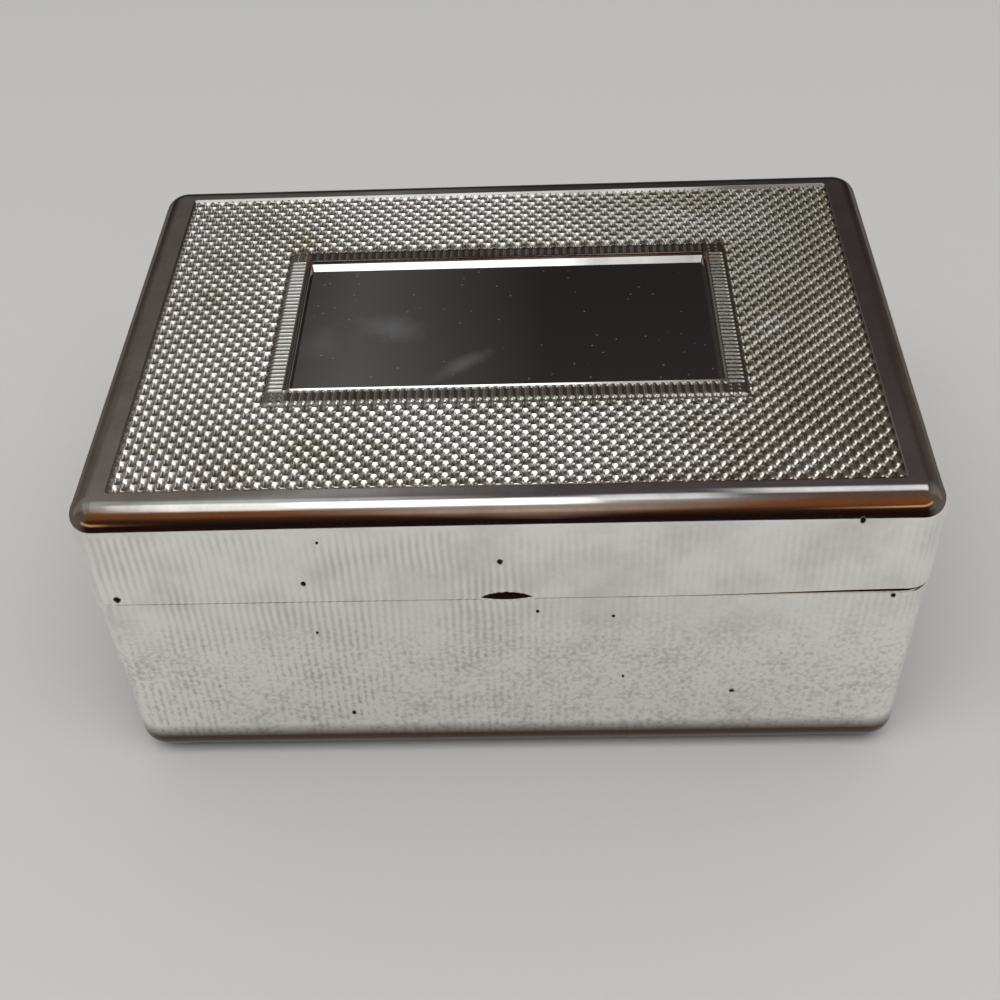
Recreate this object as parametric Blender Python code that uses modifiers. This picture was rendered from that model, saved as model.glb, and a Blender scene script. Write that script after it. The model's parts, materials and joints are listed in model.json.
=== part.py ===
"""A hinged metal trinket box with an engine-turned lid and a velvet lined inside.

The frame is in metres with +Z up.  The origin is the middle of the felt's underside, +X runs along the
box, the thumb lip is on the -Y side and the hinge is on the +Y side.
"""
import math

import bmesh
import bpy
from mathutils import Matrix, Vector

MM = 0.001

# The two pressed shells
BOX_LENGTH = 127.0 * MM
BOX_DEPTH = 88.9 * MM
LID_HEIGHT = 18.7 * MM
BASE_HEIGHT = 37.3 * MM
SHEET = 1.0 * MM
CORNER_RADIUS = 4.4 * MM
LID_EDGE_RADIUS = 3.9 * MM
BASE_EDGE_RADIUS = 3.8 * MM
LID_OVERHANG = 0.3 * MM
BASE_DRAFT = 0.6 * MM
CORNER_STEPS = 6
EDGE_STEPS = 6
SMOOTH_ANGLE = math.radians(30)

# Clearances
SEAM_GAP = 0.3 * MM
SEAT_GAP = 0.3 * MM
LIP_CLEARANCE = 0.6 * MM
CUT_OVERRUN = 2.0 * MM
JOIN_OVERLAP = 0.2 * MM

# The sunk field on the lid's top and the framed plate in its middle
FIELD_SIDE_MARGIN = 6.0 * MM
FIELD_END_MARGIN = 5.0 * MM
FIELD_DEPTH = 0.45 * MM
FIELD_SLOPE = 0.9 * MM
PLATE_LENGTH = 68.0 * MM
PLATE_WIDTH = 34.8 * MM
PLATE_SETBACK = 0.9 * MM
FRAME_RISE = 0.45 * MM
FRAME_OUTER_SLOPE = 0.6 * MM
FRAME_CREST = 0.2 * MM
FRAME_INNER_SLOPE = 1.5 * MM
PLATE_SINK = 0.35 * MM

# The thumb lip pressed out of the lid's front
LIP_LENGTH = 8.4 * MM
LIP_HEIGHT = 2.4 * MM
LIP_REACH = 0.6 * MM
LIP_RIM_STEP = 0.1 * MM
LIP_STEPS = 20

# The hinge
KNUCKLE_COUNT = 9
KNUCKLE_LENGTH = 11.0 * MM
BARREL_RADIUS = 1.5 * MM
PIN_RADIUS = 0.7 * MM
PIN_END_ROUND = 0.2 * MM
PIN_END_STEPS = 1
PIN_GAP = 0.25 * MM
AXIS_INSET = 0.1 * MM
LEAF_SHEET = 0.6 * MM
LEAF_HEIGHT = 8.0 * MM
LEAF_ROUND = 1.5 * MM
OPENING_ANGLE = math.radians(100)
STOP_CLEARANCE_ANGLE = math.radians(3)
ROUND_STEPS = 24
LEAF_ROUND_STEPS = 3

# The linings and pads
LINING_SHEET = 1.8 * MM
LINING_RISE = 3.0 * MM
LINING_ROUND = 0.5 * MM
LINING_ROUND_STEPS = 2
LINING_STEPS = 3
BARREL_TO_LINING = 0.5 * MM
LEAF_TO_LINING = 0.6 * MM
FLOOR_CARD_SHEET = 1.5 * MM
FLOOR_PAD_HEIGHT = 3.5 * MM
LID_CARD_SHEET = 1.2 * MM
LID_PAD_HEIGHT = 2.5 * MM
PAD_ROUND = 1.0 * MM
PAD_STEPS = 3
FELT_SHEET = 0.8 * MM
FELT_MARGIN = 1.5 * MM

# Heights, from the table upwards
BASE_BOTTOM = FELT_SHEET + SEAT_GAP
SEAM_HEIGHT = BASE_BOTTOM + BASE_HEIGHT
BASE_RIM = SEAM_HEIGHT - SEAM_GAP / 2
LID_RIM = SEAM_HEIGHT + SEAM_GAP / 2
LID_TOP = SEAM_HEIGHT + LID_HEIGHT
BASE_FLOOR = BASE_BOTTOM + SHEET
LID_CEILING = LID_TOP - SHEET

# Half sizes of the shells, outside and inside
LID_HALF = Vector((BOX_LENGTH / 2, BOX_DEPTH / 2))
RIM_HALF = LID_HALF - Vector((LID_OVERHANG, LID_OVERHANG))
FOOT_HALF = RIM_HALF - Vector((BASE_DRAFT, BASE_DRAFT))
WALL = Vector((SHEET, SHEET))
SEAT = Vector((SEAT_GAP, SEAT_GAP))
LID_INNER_HALF = LID_HALF - WALL
RIM_INNER_HALF = RIM_HALF - WALL
FOOT_INNER_HALF = FOOT_HALF - WALL

# The hinge axis, just inside the base's rear wall and level with the seam
AXIS_Y = RIM_INNER_HALF.y - AXIS_INSET
HINGE_LENGTH = KNUCKLE_COUNT * KNUCKLE_LENGTH
BORE_RADIUS = PIN_RADIUS + PIN_GAP
SLOT_RADIUS = BARREL_RADIUS + SEAT_GAP
GROOVE_HALF_ANGLE = (OPENING_ANGLE + STOP_CLEARANCE_ANGLE) / 2

METALS = {
    "silver_plate": ((0.72, 0.71, 0.70), 1.0, 0.12),
    "nickel": ((0.62, 0.60, 0.57), 1.0, 0.25),
    "steel": ((0.55, 0.55, 0.55), 1.0, 0.30),
}
CLOTHS = {
    "velvet": ((0.16, 0.012, 0.03), 0.0, 0.95),
    "card": ((0.36, 0.30, 0.22), 0.0, 0.90),
    "felt": ((0.02, 0.02, 0.025), 0.0, 1.0),
}


def clear_scene():
    """Remove every object that is in the scene."""
    for obj in list(bpy.data.objects):
        bpy.data.objects.remove(obj, do_unlink=True)


def add_collection(name):
    """Return a new collection in the scene."""
    collection = bpy.data.collections.new(name)
    bpy.context.scene.collection.children.link(collection)
    return collection


def add_material(name, colour, metallic, roughness):
    """Return a Principled material."""
    material = bpy.data.materials.new(name)
    material.use_nodes = True
    shader = material.node_tree.nodes["Principled BSDF"]
    shader.inputs["Base Color"].default_value = (*colour, 1.0)
    shader.inputs["Metallic"].default_value = metallic
    shader.inputs["Roughness"].default_value = roughness
    material.diffuse_color = (*colour, 1.0)
    return material


def add_object(name, shape, collection, material=None):
    """Turn a bmesh into an object with smooth round faces."""
    mesh = bpy.data.meshes.new(name)
    shape.to_mesh(mesh)
    shape.free()
    mesh.shade_smooth()
    mesh.set_sharp_from_angle(angle=SMOOTH_ANGLE)
    obj = bpy.data.objects.new(name, mesh)
    collection.objects.link(obj)
    if material:
        mesh.materials.append(material)
    return obj


def add_part(name, shape, material_name):
    """Add a sub-part with a material of its own."""
    look = {**METALS, **CLOTHS}[material_name]
    return add_object(name, shape, PARTS, add_material(name + "_" + material_name, *look))


def add_cutter(name, shape):
    """Add a shape that only cuts or joins other pieces."""
    obj = add_object(name, shape, CUTTERS)
    obj.hide_render = True
    obj.display_type = "WIRE"
    return obj


def combine(obj, other, operation):
    """Cut the other shape from the object, or join it on."""
    modifier = obj.modifiers.new(operation.lower() + "_" + other.name, "BOOLEAN")
    modifier.operation = operation
    modifier.solver = "EXACT"
    modifier.object = other


def add_thickness(obj, sheet):
    """Give an open surface its wall, inwards from the surface."""
    modifier = obj.modifiers.new("sheet", "SOLIDIFY")
    modifier.thickness = sheet
    modifier.offset = -1
    modifier.use_even_offset = True


def round_edges(obj, width, steps):
    """Round the sharp edges of a piece."""
    modifier = obj.modifiers.new("rounding", "BEVEL")
    modifier.width = width
    modifier.segments = steps


def block(low, high):
    """Return a box between two corners."""
    shape = bmesh.new()
    bmesh.ops.create_cube(shape, size=1)
    low = Vector(low)
    high = Vector(high)
    bmesh.ops.scale(shape, vec=high - low, verts=shape.verts)
    bmesh.ops.translate(shape, vec=(low + high) / 2, verts=shape.verts)
    return shape


def end_face(shape, side):
    """Return the flat face at the top (side 1) or the bottom (side -1)."""
    return max(shape.faces, key=lambda face: side * face.calc_center_median().z)


def spread_end(shape, side, growth):
    """Move the top or bottom edge of a box outwards by the growth on each side."""
    for vert in end_face(shape, side).verts:
        vert.co.x += growth * math.copysign(1, vert.co.x)
        vert.co.y += growth * math.copysign(1, vert.co.y)


def round_uprights(shape, radius, steps):
    """Round the upright edges of a box."""
    uprights = [edge for edge in shape.edges if is_upright(edge)]
    bmesh.ops.bevel(shape, geom=uprights, offset=radius, segments=steps, profile=0.5, affect="EDGES")


def is_upright(edge):
    """Tell whether an edge runs mostly up and down."""
    run = edge.verts[1].co - edge.verts[0].co
    return abs(run.z) > run.xy.length


def round_end(shape, side, radius, steps):
    """Round the loop of edges at the top or the bottom."""
    loop = list(end_face(shape, side).edges)
    bmesh.ops.bevel(shape, geom=loop, offset=radius, segments=steps, profile=0.5, affect="EDGES")


def tub(closed_half, open_half, closed_z, open_z, edge_radius):
    """Return an open rounded tub, wide open at one end and filleted round its closed end."""
    side = math.copysign(1, closed_z - open_z)
    low_z = min(closed_z, open_z)
    high_z = max(closed_z, open_z)
    shape = block((-open_half.x, -open_half.y, low_z), (open_half.x, open_half.y, high_z))
    spread_end(shape, side, closed_half.x - open_half.x)
    round_uprights(shape, CORNER_RADIUS, CORNER_STEPS)
    round_end(shape, side, edge_radius, EDGE_STEPS)
    bmesh.ops.delete(shape, geom=[end_face(shape, -side)], context="FACES_ONLY")
    return shape


def frustum(half, low_z, high_z, low_growth, high_growth, setback=0):
    """Return a box with sloped sides, from its half size, each end's spread and its place to the rear."""
    shape = block((-half.x, -half.y, low_z), (half.x, half.y, high_z))
    spread_end(shape, -1, low_growth)
    spread_end(shape, 1, high_growth)
    bmesh.ops.translate(shape, vec=(0, setback, 0), verts=shape.verts)
    return shape


def rod(radius, start_x, end_x, steps=ROUND_STEPS):
    """Return a cylinder on the hinge axis between two places along the box."""
    shape = bmesh.new()
    bmesh.ops.create_cone(
        shape, cap_ends=True, segments=steps, radius1=radius, radius2=radius, depth=end_x - start_x)
    bmesh.ops.rotate(shape, matrix=Matrix.Rotation(math.pi / 2, 3, "Y"), verts=shape.verts)
    middle = Vector(((start_x + end_x) / 2, AXIS_Y, SEAM_HEIGHT))
    bmesh.ops.translate(shape, vec=middle, verts=shape.verts)
    return shape


def add_groove_cutter():
    """Add the wedge whose apex is the hinge axis, which bevels both rear rims."""
    reach = LID_HALF.y - AXIS_Y + CUT_OVERRUN
    rise = reach * math.tan(GROOVE_HALF_ANGLE)
    half_length = LID_HALF.x + CUT_OVERRUN
    low = (-half_length, AXIS_Y, SEAM_HEIGHT - rise)
    high = (half_length, AXIS_Y + reach, SEAM_HEIGHT + rise)
    shape = block(low, high)
    near = [vert for vert in shape.verts if vert.co.y < AXIS_Y + reach / 2]
    for vert in near:
        vert.co.z = SEAM_HEIGHT
    bmesh.ops.remove_doubles(shape, verts=shape.verts, dist=SEAM_GAP / 2)
    return add_cutter("rear_groove_cutter", shape)


def add_barrel_cutter():
    """Add the round channel that the barrel turns in."""
    half_length = HINGE_LENGTH / 2 + SEAT_GAP
    return add_cutter("barrel_channel_cutter", rod(SLOT_RADIUS, -half_length, half_length))


def add_field_cutter():
    """Add the shallow pocket of the patterned field."""
    half = LID_HALF - Vector((FIELD_SIDE_MARGIN, FIELD_END_MARGIN))
    floor = LID_TOP - FIELD_DEPTH
    upper_growth = CUT_OVERRUN * FIELD_SLOPE / FIELD_DEPTH
    shape = frustum(half, floor, LID_TOP + CUT_OVERRUN, -FIELD_SLOPE, upper_growth)
    return add_cutter("field_cutter", shape)


def add_frame_block():
    """Add the raised block that the plate's frame is cut from."""
    half = Vector((PLATE_LENGTH / 2, PLATE_WIDTH / 2))
    floor = LID_TOP - FIELD_DEPTH
    foot = floor - JOIN_OVERLAP
    foot_growth = JOIN_OVERLAP * FRAME_OUTER_SLOPE / FRAME_RISE
    shape = frustum(half, foot, floor + FRAME_RISE, foot_growth, -FRAME_OUTER_SLOPE, PLATE_SETBACK)
    return add_cutter("plate_frame_block", shape)


def add_plate_cutter():
    """Add the pocket inside the frame, whose floor is the polished plate."""
    crest = FRAME_OUTER_SLOPE + FRAME_CREST
    half = Vector((PLATE_LENGTH / 2 - crest, PLATE_WIDTH / 2 - crest))
    top = LID_TOP - FIELD_DEPTH + FRAME_RISE
    floor = top - PLATE_SINK
    upper_growth = CUT_OVERRUN * FRAME_INNER_SLOPE / PLATE_SINK
    shape = frustum(half, floor, top + CUT_OVERRUN, -FRAME_INNER_SLOPE, upper_growth, PLATE_SETBACK)
    return add_cutter("plate_cutter", shape)


def add_lip_block():
    """Add the half lens that stands out of the lid's front as a thumb lip."""
    shape = bmesh.new()
    bmesh.ops.create_uvsphere(shape, u_segments=LIP_STEPS, v_segments=LIP_STEPS // 2, radius=1)
    bmesh.ops.scale(shape, vec=(LIP_LENGTH / 2, LIP_REACH, LIP_HEIGHT), verts=shape.verts)
    bmesh.ops.translate(shape, vec=(0, -LID_HALF.y, LID_RIM), verts=shape.verts)
    cut = bmesh.ops.bisect_plane(
        shape, geom=shape.verts[:] + shape.edges[:] + shape.faces[:],
        plane_co=(0, 0, LID_RIM + LIP_RIM_STEP), plane_no=(0, 0, -1), clear_outer=True)
    rim = [item for item in cut["geom_cut"] if isinstance(item, bmesh.types.BMEdge)]
    bmesh.ops.contextual_create(shape, geom=rim)
    bmesh.ops.recalc_face_normals(shape, faces=shape.faces)
    return add_cutter("thumb_lip_block", shape)


def add_lid_shell(groove, channel):
    """Press the lid: its tub, the sunk field, the framed plate, the thumb lip and the bevelled rear rim."""
    shape = tub(LID_HALF, LID_HALF, LID_TOP, LID_RIM, LID_EDGE_RADIUS)
    lid = add_part("lid_shell", shape, "silver_plate")
    add_thickness(lid, SHEET)
    combine(lid, add_field_cutter(), "DIFFERENCE")
    combine(lid, add_frame_block(), "UNION")
    combine(lid, add_plate_cutter(), "DIFFERENCE")
    combine(lid, add_lip_block(), "UNION")
    combine(lid, groove, "DIFFERENCE")
    combine(lid, channel, "DIFFERENCE")
    return lid


def add_base_shell(groove, channel):
    """Press the base: its tapered tub and the bevelled rear rim."""
    shape = tub(FOOT_HALF, RIM_HALF, BASE_BOTTOM, BASE_RIM, BASE_EDGE_RADIUS)
    base = add_part("base_shell", shape, "silver_plate")
    add_thickness(base, SHEET)
    combine(base, groove, "DIFFERENCE")
    combine(base, channel, "DIFFERENCE")
    return base


def knuckle_start(index):
    """Return where a knuckle starts along the box."""
    return index * KNUCKLE_LENGTH - HINGE_LENGTH / 2


def add_leaf(name, inner_wall_y, side, owned):
    """Make one hinge leaf: a plate on the inside of the wall, rolled into the knuckles that it owns.

    The barrel is one full-length cylinder.  The bore goes through it, and a wider slot takes away each
    knuckle that belongs to the other leaf, together with the plate's edge beside it.
    """
    back_y = inner_wall_y - SEAT_GAP
    far_z = SEAM_HEIGHT + side * LEAF_HEIGHT
    half_length = HINGE_LENGTH / 2
    low = (-half_length, back_y - LEAF_SHEET, min(SEAM_HEIGHT, far_z))
    high = (half_length, back_y, max(SEAM_HEIGHT, far_z))
    shape = block(low, high)
    corners = [
        edge for edge in shape.edges
        if is_across(edge) and side * (edge.verts[0].co.z - far_z) > -SEAT_GAP]
    bmesh.ops.bevel(
        shape, geom=corners, offset=LEAF_ROUND, segments=LEAF_ROUND_STEPS, profile=0.5, affect="EDGES")
    leaf = add_part(name, shape, "nickel")
    combine(leaf, add_cutter(name + "_barrel", rod(BARREL_RADIUS, -half_length, half_length)), "UNION")
    bore = rod(BORE_RADIUS, -half_length - CUT_OVERRUN, half_length + CUT_OVERRUN)
    combine(leaf, add_cutter(name + "_bore", bore), "DIFFERENCE")
    for index in range(KNUCKLE_COUNT):
        if index in owned:
            continue
        start = knuckle_start(index)
        slot = rod(SLOT_RADIUS, start - SEAT_GAP / 2, start + KNUCKLE_LENGTH + SEAT_GAP / 2)
        combine(leaf, add_cutter(f"{name}_slot_{index}", slot), "DIFFERENCE")
    return leaf


def is_across(edge):
    """Tell whether an edge runs front to back."""
    run = edge.verts[1].co - edge.verts[0].co
    return abs(run.y) > abs(run.x) + abs(run.z)


def add_pin():
    """Make the hinge pin, with its ends rounded over."""
    pin = add_part("hinge_pin", rod(PIN_RADIUS, -HINGE_LENGTH / 2, HINGE_LENGTH / 2), "steel")
    round_edges(pin, PIN_END_ROUND, PIN_END_STEPS)
    return pin


def corner_centres(low, high, radius):
    """Return the centres of the four corner arcs, anticlockwise from the left front."""
    left = low.x + radius
    right = high.x - radius
    front = low.y + radius
    rear = high.y - radius
    return [Vector((left, front)), Vector((right, front)), Vector((right, rear)), Vector((left, rear))]


def panel_path(low, high, radius, turn, depth):
    """Return plan points along one lining panel: half a corner arc, the straight run and half an arc.

    The turn is 0 for the front panel, 1 for the right, 2 for the rear and 3 for the left.  The depth is
    how far inside the panel's outer face the points lie.  The arcs stop short of the mitre line.
    """
    centres = corner_centres(low, high, radius)
    facing = (turn - 1) * math.pi / 2
    mitre = math.pi / 4 - SEAT_GAP / 2 / (radius - depth)
    path = []
    next_turn = (turn + 1) % len(centres)
    arcs = ((centres[turn], facing - mitre, facing), (centres[next_turn], facing, facing + mitre))
    for centre, start, end in arcs:
        for step in range(LINING_STEPS + 1):
            angle = start + (end - start) * step / LINING_STEPS
            path.append(centre + (radius - depth) * Vector((math.cos(angle), math.sin(angle))))
    return path


def prism(outline, bottom, top):
    """Return the solid that stands on a flat outline."""
    shape = bmesh.new()
    verts = [shape.verts.new((point.x, point.y, bottom)) for point in outline]
    floor = shape.faces.new(verts)
    raised = bmesh.ops.extrude_face_region(shape, geom=[floor])
    upper = [item for item in raised["geom"] if isinstance(item, bmesh.types.BMVert)]
    bmesh.ops.translate(shape, vec=(0, 0, top - bottom), verts=upper)
    bmesh.ops.recalc_face_normals(shape, faces=shape.faces)
    return shape


def add_lining(name, low, high, radius, turn, bottom, top):
    """Make one velvet covered card panel that stands against a wall."""
    outer = panel_path(low, high, radius, turn, 0)
    inner = panel_path(low, high, radius, turn, LINING_SHEET)
    lining = add_part(name, prism(outer + inner[::-1], bottom, top), "velvet")
    round_edges(lining, LINING_ROUND, LINING_ROUND_STEPS)
    return lining


def add_linings(prefix, low, high, radius, bottom, top):
    """Make the four lining panels of one shell."""
    return [
        add_lining(f"{prefix}_lining_{side}", low, high, radius, turn, bottom, top)
        for turn, side in enumerate(("front", "right", "rear", "left"))]


def add_slab(name, low, high, bottom, top, corner, material_name, soft_side=0):
    """Make a flat card or pad with rounded corners, its soft side (1 top, -1 bottom) rounded over."""
    shape = block((low.x, low.y, bottom), (high.x, high.y, top))
    round_uprights(shape, corner, PAD_STEPS)
    if soft_side:
        round_end(shape, soft_side, PAD_ROUND, PAD_STEPS)
    return add_part(name, shape, material_name)


def shrink(low, high, margin):
    """Return a plan rectangle that is smaller by a margin on each side."""
    step = Vector((margin, margin))
    return low + step, high - step


def add_base_inside():
    """Line the base: felt below, a floor card and pad, and four wall panels that stand above the rim."""
    lining_low = -(FOOT_INNER_HALF - SEAT)
    lining_high = FOOT_INNER_HALF - SEAT
    lining_high.y = AXIS_Y - BARREL_RADIUS - BARREL_TO_LINING
    radius = CORNER_RADIUS - SHEET - SEAT_GAP
    fillet_top = BASE_BOTTOM + BASE_EDGE_RADIUS
    pieces = add_linings(
        "base", lining_low, lining_high, radius, fillet_top + SEAT_GAP, SEAM_HEIGHT + LINING_RISE)
    flat_half = FOOT_HALF - Vector((BASE_EDGE_RADIUS, BASE_EDGE_RADIUS))
    card_low, card_high = shrink(-flat_half, flat_half, SEAT_GAP)
    card_bottom = BASE_FLOOR + SEAT_GAP
    card_top = card_bottom + FLOOR_CARD_SHEET
    pieces.append(add_slab("floor_card", card_low, card_high, card_bottom, card_top, SHEET, "card"))
    pad_low, pad_high = shrink(lining_low, lining_high, LINING_SHEET + SEAT_GAP)
    pad_bottom = card_top + SEAT_GAP
    pad_top = pad_bottom + FLOOR_PAD_HEIGHT
    pieces.append(add_slab("floor_pad", pad_low, pad_high, pad_bottom, pad_top, LINING_SHEET, "velvet", 1))
    felt_low, felt_high = shrink(-flat_half, flat_half, FELT_MARGIN)
    pieces.append(add_slab("underside_felt", felt_low, felt_high, 0, FELT_SHEET, CORNER_RADIUS, "felt"))
    return pieces


def add_lid_inside():
    """Line the lid: a ceiling card and pad, and four wall panels that end above the base's linings."""
    lining_low = -(LID_INNER_HALF - SEAT)
    lining_high = LID_INNER_HALF - SEAT
    lining_high.y = LID_INNER_HALF.y - SEAT_GAP - LEAF_SHEET - LEAF_TO_LINING
    radius = CORNER_RADIUS - SHEET - SEAT_GAP
    fillet_bottom = LID_TOP - LID_EDGE_RADIUS
    pieces = add_linings(
        "lid", lining_low, lining_high, radius,
        SEAM_HEIGHT + LINING_RISE + LIP_CLEARANCE, fillet_bottom - SEAT_GAP)
    flat_half = LID_HALF - Vector((LID_EDGE_RADIUS, LID_EDGE_RADIUS))
    card_low, card_high = shrink(-flat_half, flat_half, SEAT_GAP)
    card_top = LID_CEILING - SEAT_GAP
    card_bottom = card_top - LID_CARD_SHEET
    pieces.append(add_slab("lid_card", card_low, card_high, card_bottom, card_top, SHEET, "card"))
    pad_low, pad_high = shrink(lining_low, lining_high, LINING_SHEET + SEAT_GAP)
    pad_top = card_bottom - SEAT_GAP
    pad_bottom = pad_top - LID_PAD_HEIGHT
    pieces.append(add_slab("lid_pad", pad_low, pad_high, pad_bottom, pad_top, LINING_SHEET, "velvet", -1))
    return pieces


def hang_on_hinge(pieces):
    """Parent the lid's pieces to an empty on the hinge axis, leaving them where they are."""
    pivot = bpy.data.objects.new("lid_pivot", None)
    pivot.location = (0, AXIS_Y, SEAM_HEIGHT)
    PARTS.objects.link(pivot)
    bpy.context.view_layer.update()
    for piece in pieces:
        piece.parent = pivot
        piece.matrix_parent_inverse = pivot.matrix_world.inverted()


def build():
    """Make every piece of the box."""
    groove = add_groove_cutter()
    channel = add_barrel_cutter()
    add_base_shell(groove, channel)
    base_knuckles = range(0, KNUCKLE_COUNT, 2)
    lid_knuckles = range(1, KNUCKLE_COUNT, 2)
    add_leaf("base_hinge_leaf", RIM_INNER_HALF.y, -1, base_knuckles)
    add_pin()
    add_base_inside()
    lid_pieces = [add_lid_shell(groove, channel)]
    lid_pieces.append(add_leaf("lid_hinge_leaf", LID_INNER_HALF.y, 1, lid_knuckles))
    lid_pieces.extend(add_lid_inside())
    hang_on_hinge(lid_pieces)


clear_scene()
PARTS = add_collection("trinket_box")
CUTTERS = add_collection("cutters")
build()
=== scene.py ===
"""Looks of a hinged trinket box: bright plated shells, an engine-turned lid, a nickel hinge, a velvet inside.

Run as a script.  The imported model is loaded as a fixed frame, each piece is made by an operator of its own
and the scene is left ready to render.  Lengths are in metres, +X runs along the box, -Y is its front and +Z
is up.
"""
import json
import math

import bpy
import numpy as np
from mathutils import Matrix, Vector


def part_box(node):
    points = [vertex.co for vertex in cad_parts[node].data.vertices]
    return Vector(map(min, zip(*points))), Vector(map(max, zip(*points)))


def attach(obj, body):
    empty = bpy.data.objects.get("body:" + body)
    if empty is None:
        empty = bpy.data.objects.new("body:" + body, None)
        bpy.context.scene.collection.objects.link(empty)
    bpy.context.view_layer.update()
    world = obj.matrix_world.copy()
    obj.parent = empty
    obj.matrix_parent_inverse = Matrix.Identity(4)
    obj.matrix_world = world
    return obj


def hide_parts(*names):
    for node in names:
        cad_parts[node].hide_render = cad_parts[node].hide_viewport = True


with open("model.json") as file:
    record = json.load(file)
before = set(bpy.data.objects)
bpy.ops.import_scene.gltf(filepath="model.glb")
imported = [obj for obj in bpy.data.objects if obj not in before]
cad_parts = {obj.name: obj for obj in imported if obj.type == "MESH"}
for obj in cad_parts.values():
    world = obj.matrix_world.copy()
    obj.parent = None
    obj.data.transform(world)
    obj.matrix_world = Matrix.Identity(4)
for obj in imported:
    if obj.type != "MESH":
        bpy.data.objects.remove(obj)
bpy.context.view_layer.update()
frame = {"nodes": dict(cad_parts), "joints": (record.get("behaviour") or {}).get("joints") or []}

bl_info = {
    "name": "Trinket box looks",
    "version": (1, 0, 0),
    "blender": (4, 5, 0),
    "location": "3D View > Sidebar > Trinket box",
    "description": "Dresses a hinged metal trinket box with an engine-turned lid and a velvet inside",
    "category": "Object",
}

MM = 0.001

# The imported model, which every piece is fitted to
LID_LOW, LID_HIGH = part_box("lid_shell")
BASE_LOW, BASE_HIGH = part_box("base_shell")
PIN_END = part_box("hinge_pin")[1].x
HINGE_AXIS = Vector(frame["joints"][0]["pos_m"])
OPENING_ANGLE = math.radians(frame["joints"][0]["range_deg"][1])
LID_HALF = np.array((LID_HIGH.x, LID_HIGH.y))
BASE_HALF = np.array((BASE_HIGH.x, BASE_HIGH.y))

# Sharpest folds between two faces that are still shaded smooth
METAL_FOLD = math.radians(12)
PATTERN_FOLD = math.radians(32)
FELT_FOLD = math.radians(40)
PANEL_FOLD = math.radians(50)
CUSHION_FOLD = math.radians(60)


def linear(hex_text):
    """Turn an sRGB hex colour into linear red, green and blue."""
    parts = [int(hex_text[start:start + 2], 16) / 255 for start in (1, 3, 5)]
    return tuple(part / 12.92 if part <= 0.04045 else ((part + 0.055) / 1.055) ** 2.4 for part in parts)


def length(name, description, default):
    """Return a length property."""
    return bpy.props.FloatProperty(
        name=name, description=description, default=default, min=0, unit="LENGTH", precision=5)


def angle(name, description, degrees):
    """Return an angle property."""
    return bpy.props.FloatProperty(
        name=name, description=description, default=math.radians(degrees), subtype="ANGLE")


def colour(name, description, hex_text):
    """Return a colour property."""
    return bpy.props.FloatVectorProperty(
        name=name, description=description, default=linear(hex_text), min=0, max=1, subtype="COLOR")


def share(name, description, default):
    """Return a property from 0 to 1."""
    return bpy.props.FloatProperty(
        name=name, description=description, default=default, min=0, max=1, subtype="FACTOR")


def count(name, description, default):
    """Return a whole number property."""
    return bpy.props.IntProperty(name=name, description=description, default=default, min=1)


class TrinketShells(bpy.types.PropertyGroup):
    """Sizes of the two pressed shells."""
    sheet: length("Sheet", "Thickness of the pressed sheet", 1.0 * MM)
    corner: length("Corner radius", "Radius of the upright corners", 4.4 * MM)
    lid_edge: length("Lid edge", "Radius round the top of the lid", 3.9 * MM)
    base_edge: length("Base edge", "Radius round the bottom of the base", 3.8 * MM)
    draft: length("Draft", "How far the base tapers in on each side", 0.6 * MM)
    stop_clearance: angle("Stop clearance", "Angle left between the rear rims when the lid is open", 3)
    channel: length("Channel radius", "Radius of the channel that the barrel turns in", 1.8 * MM)
    channel_gap: length("Channel gap", "How far the channel runs past the pin's end", 0.3 * MM)
    rim_round: length("Rim rounding", "Rounding of the sheet's cut edge", 0.14 * MM)
    lip_length: length("Lip length", "Length of the thumb lip", 8.4 * MM)
    lip_height: length("Lip height", "Height of the thumb lip's slanting face", 1.15 * MM)
    lip_reach: length("Lip reach", "How far the thumb lip stands out", 0.55 * MM)
    lip_edge: length("Lip edge", "Height of the upright edge below the slanting face", 0.45 * MM)
    lift: length("Bent rim", "How far the lid's rim is bent up at its right front corner", 0.7 * MM)


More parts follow.
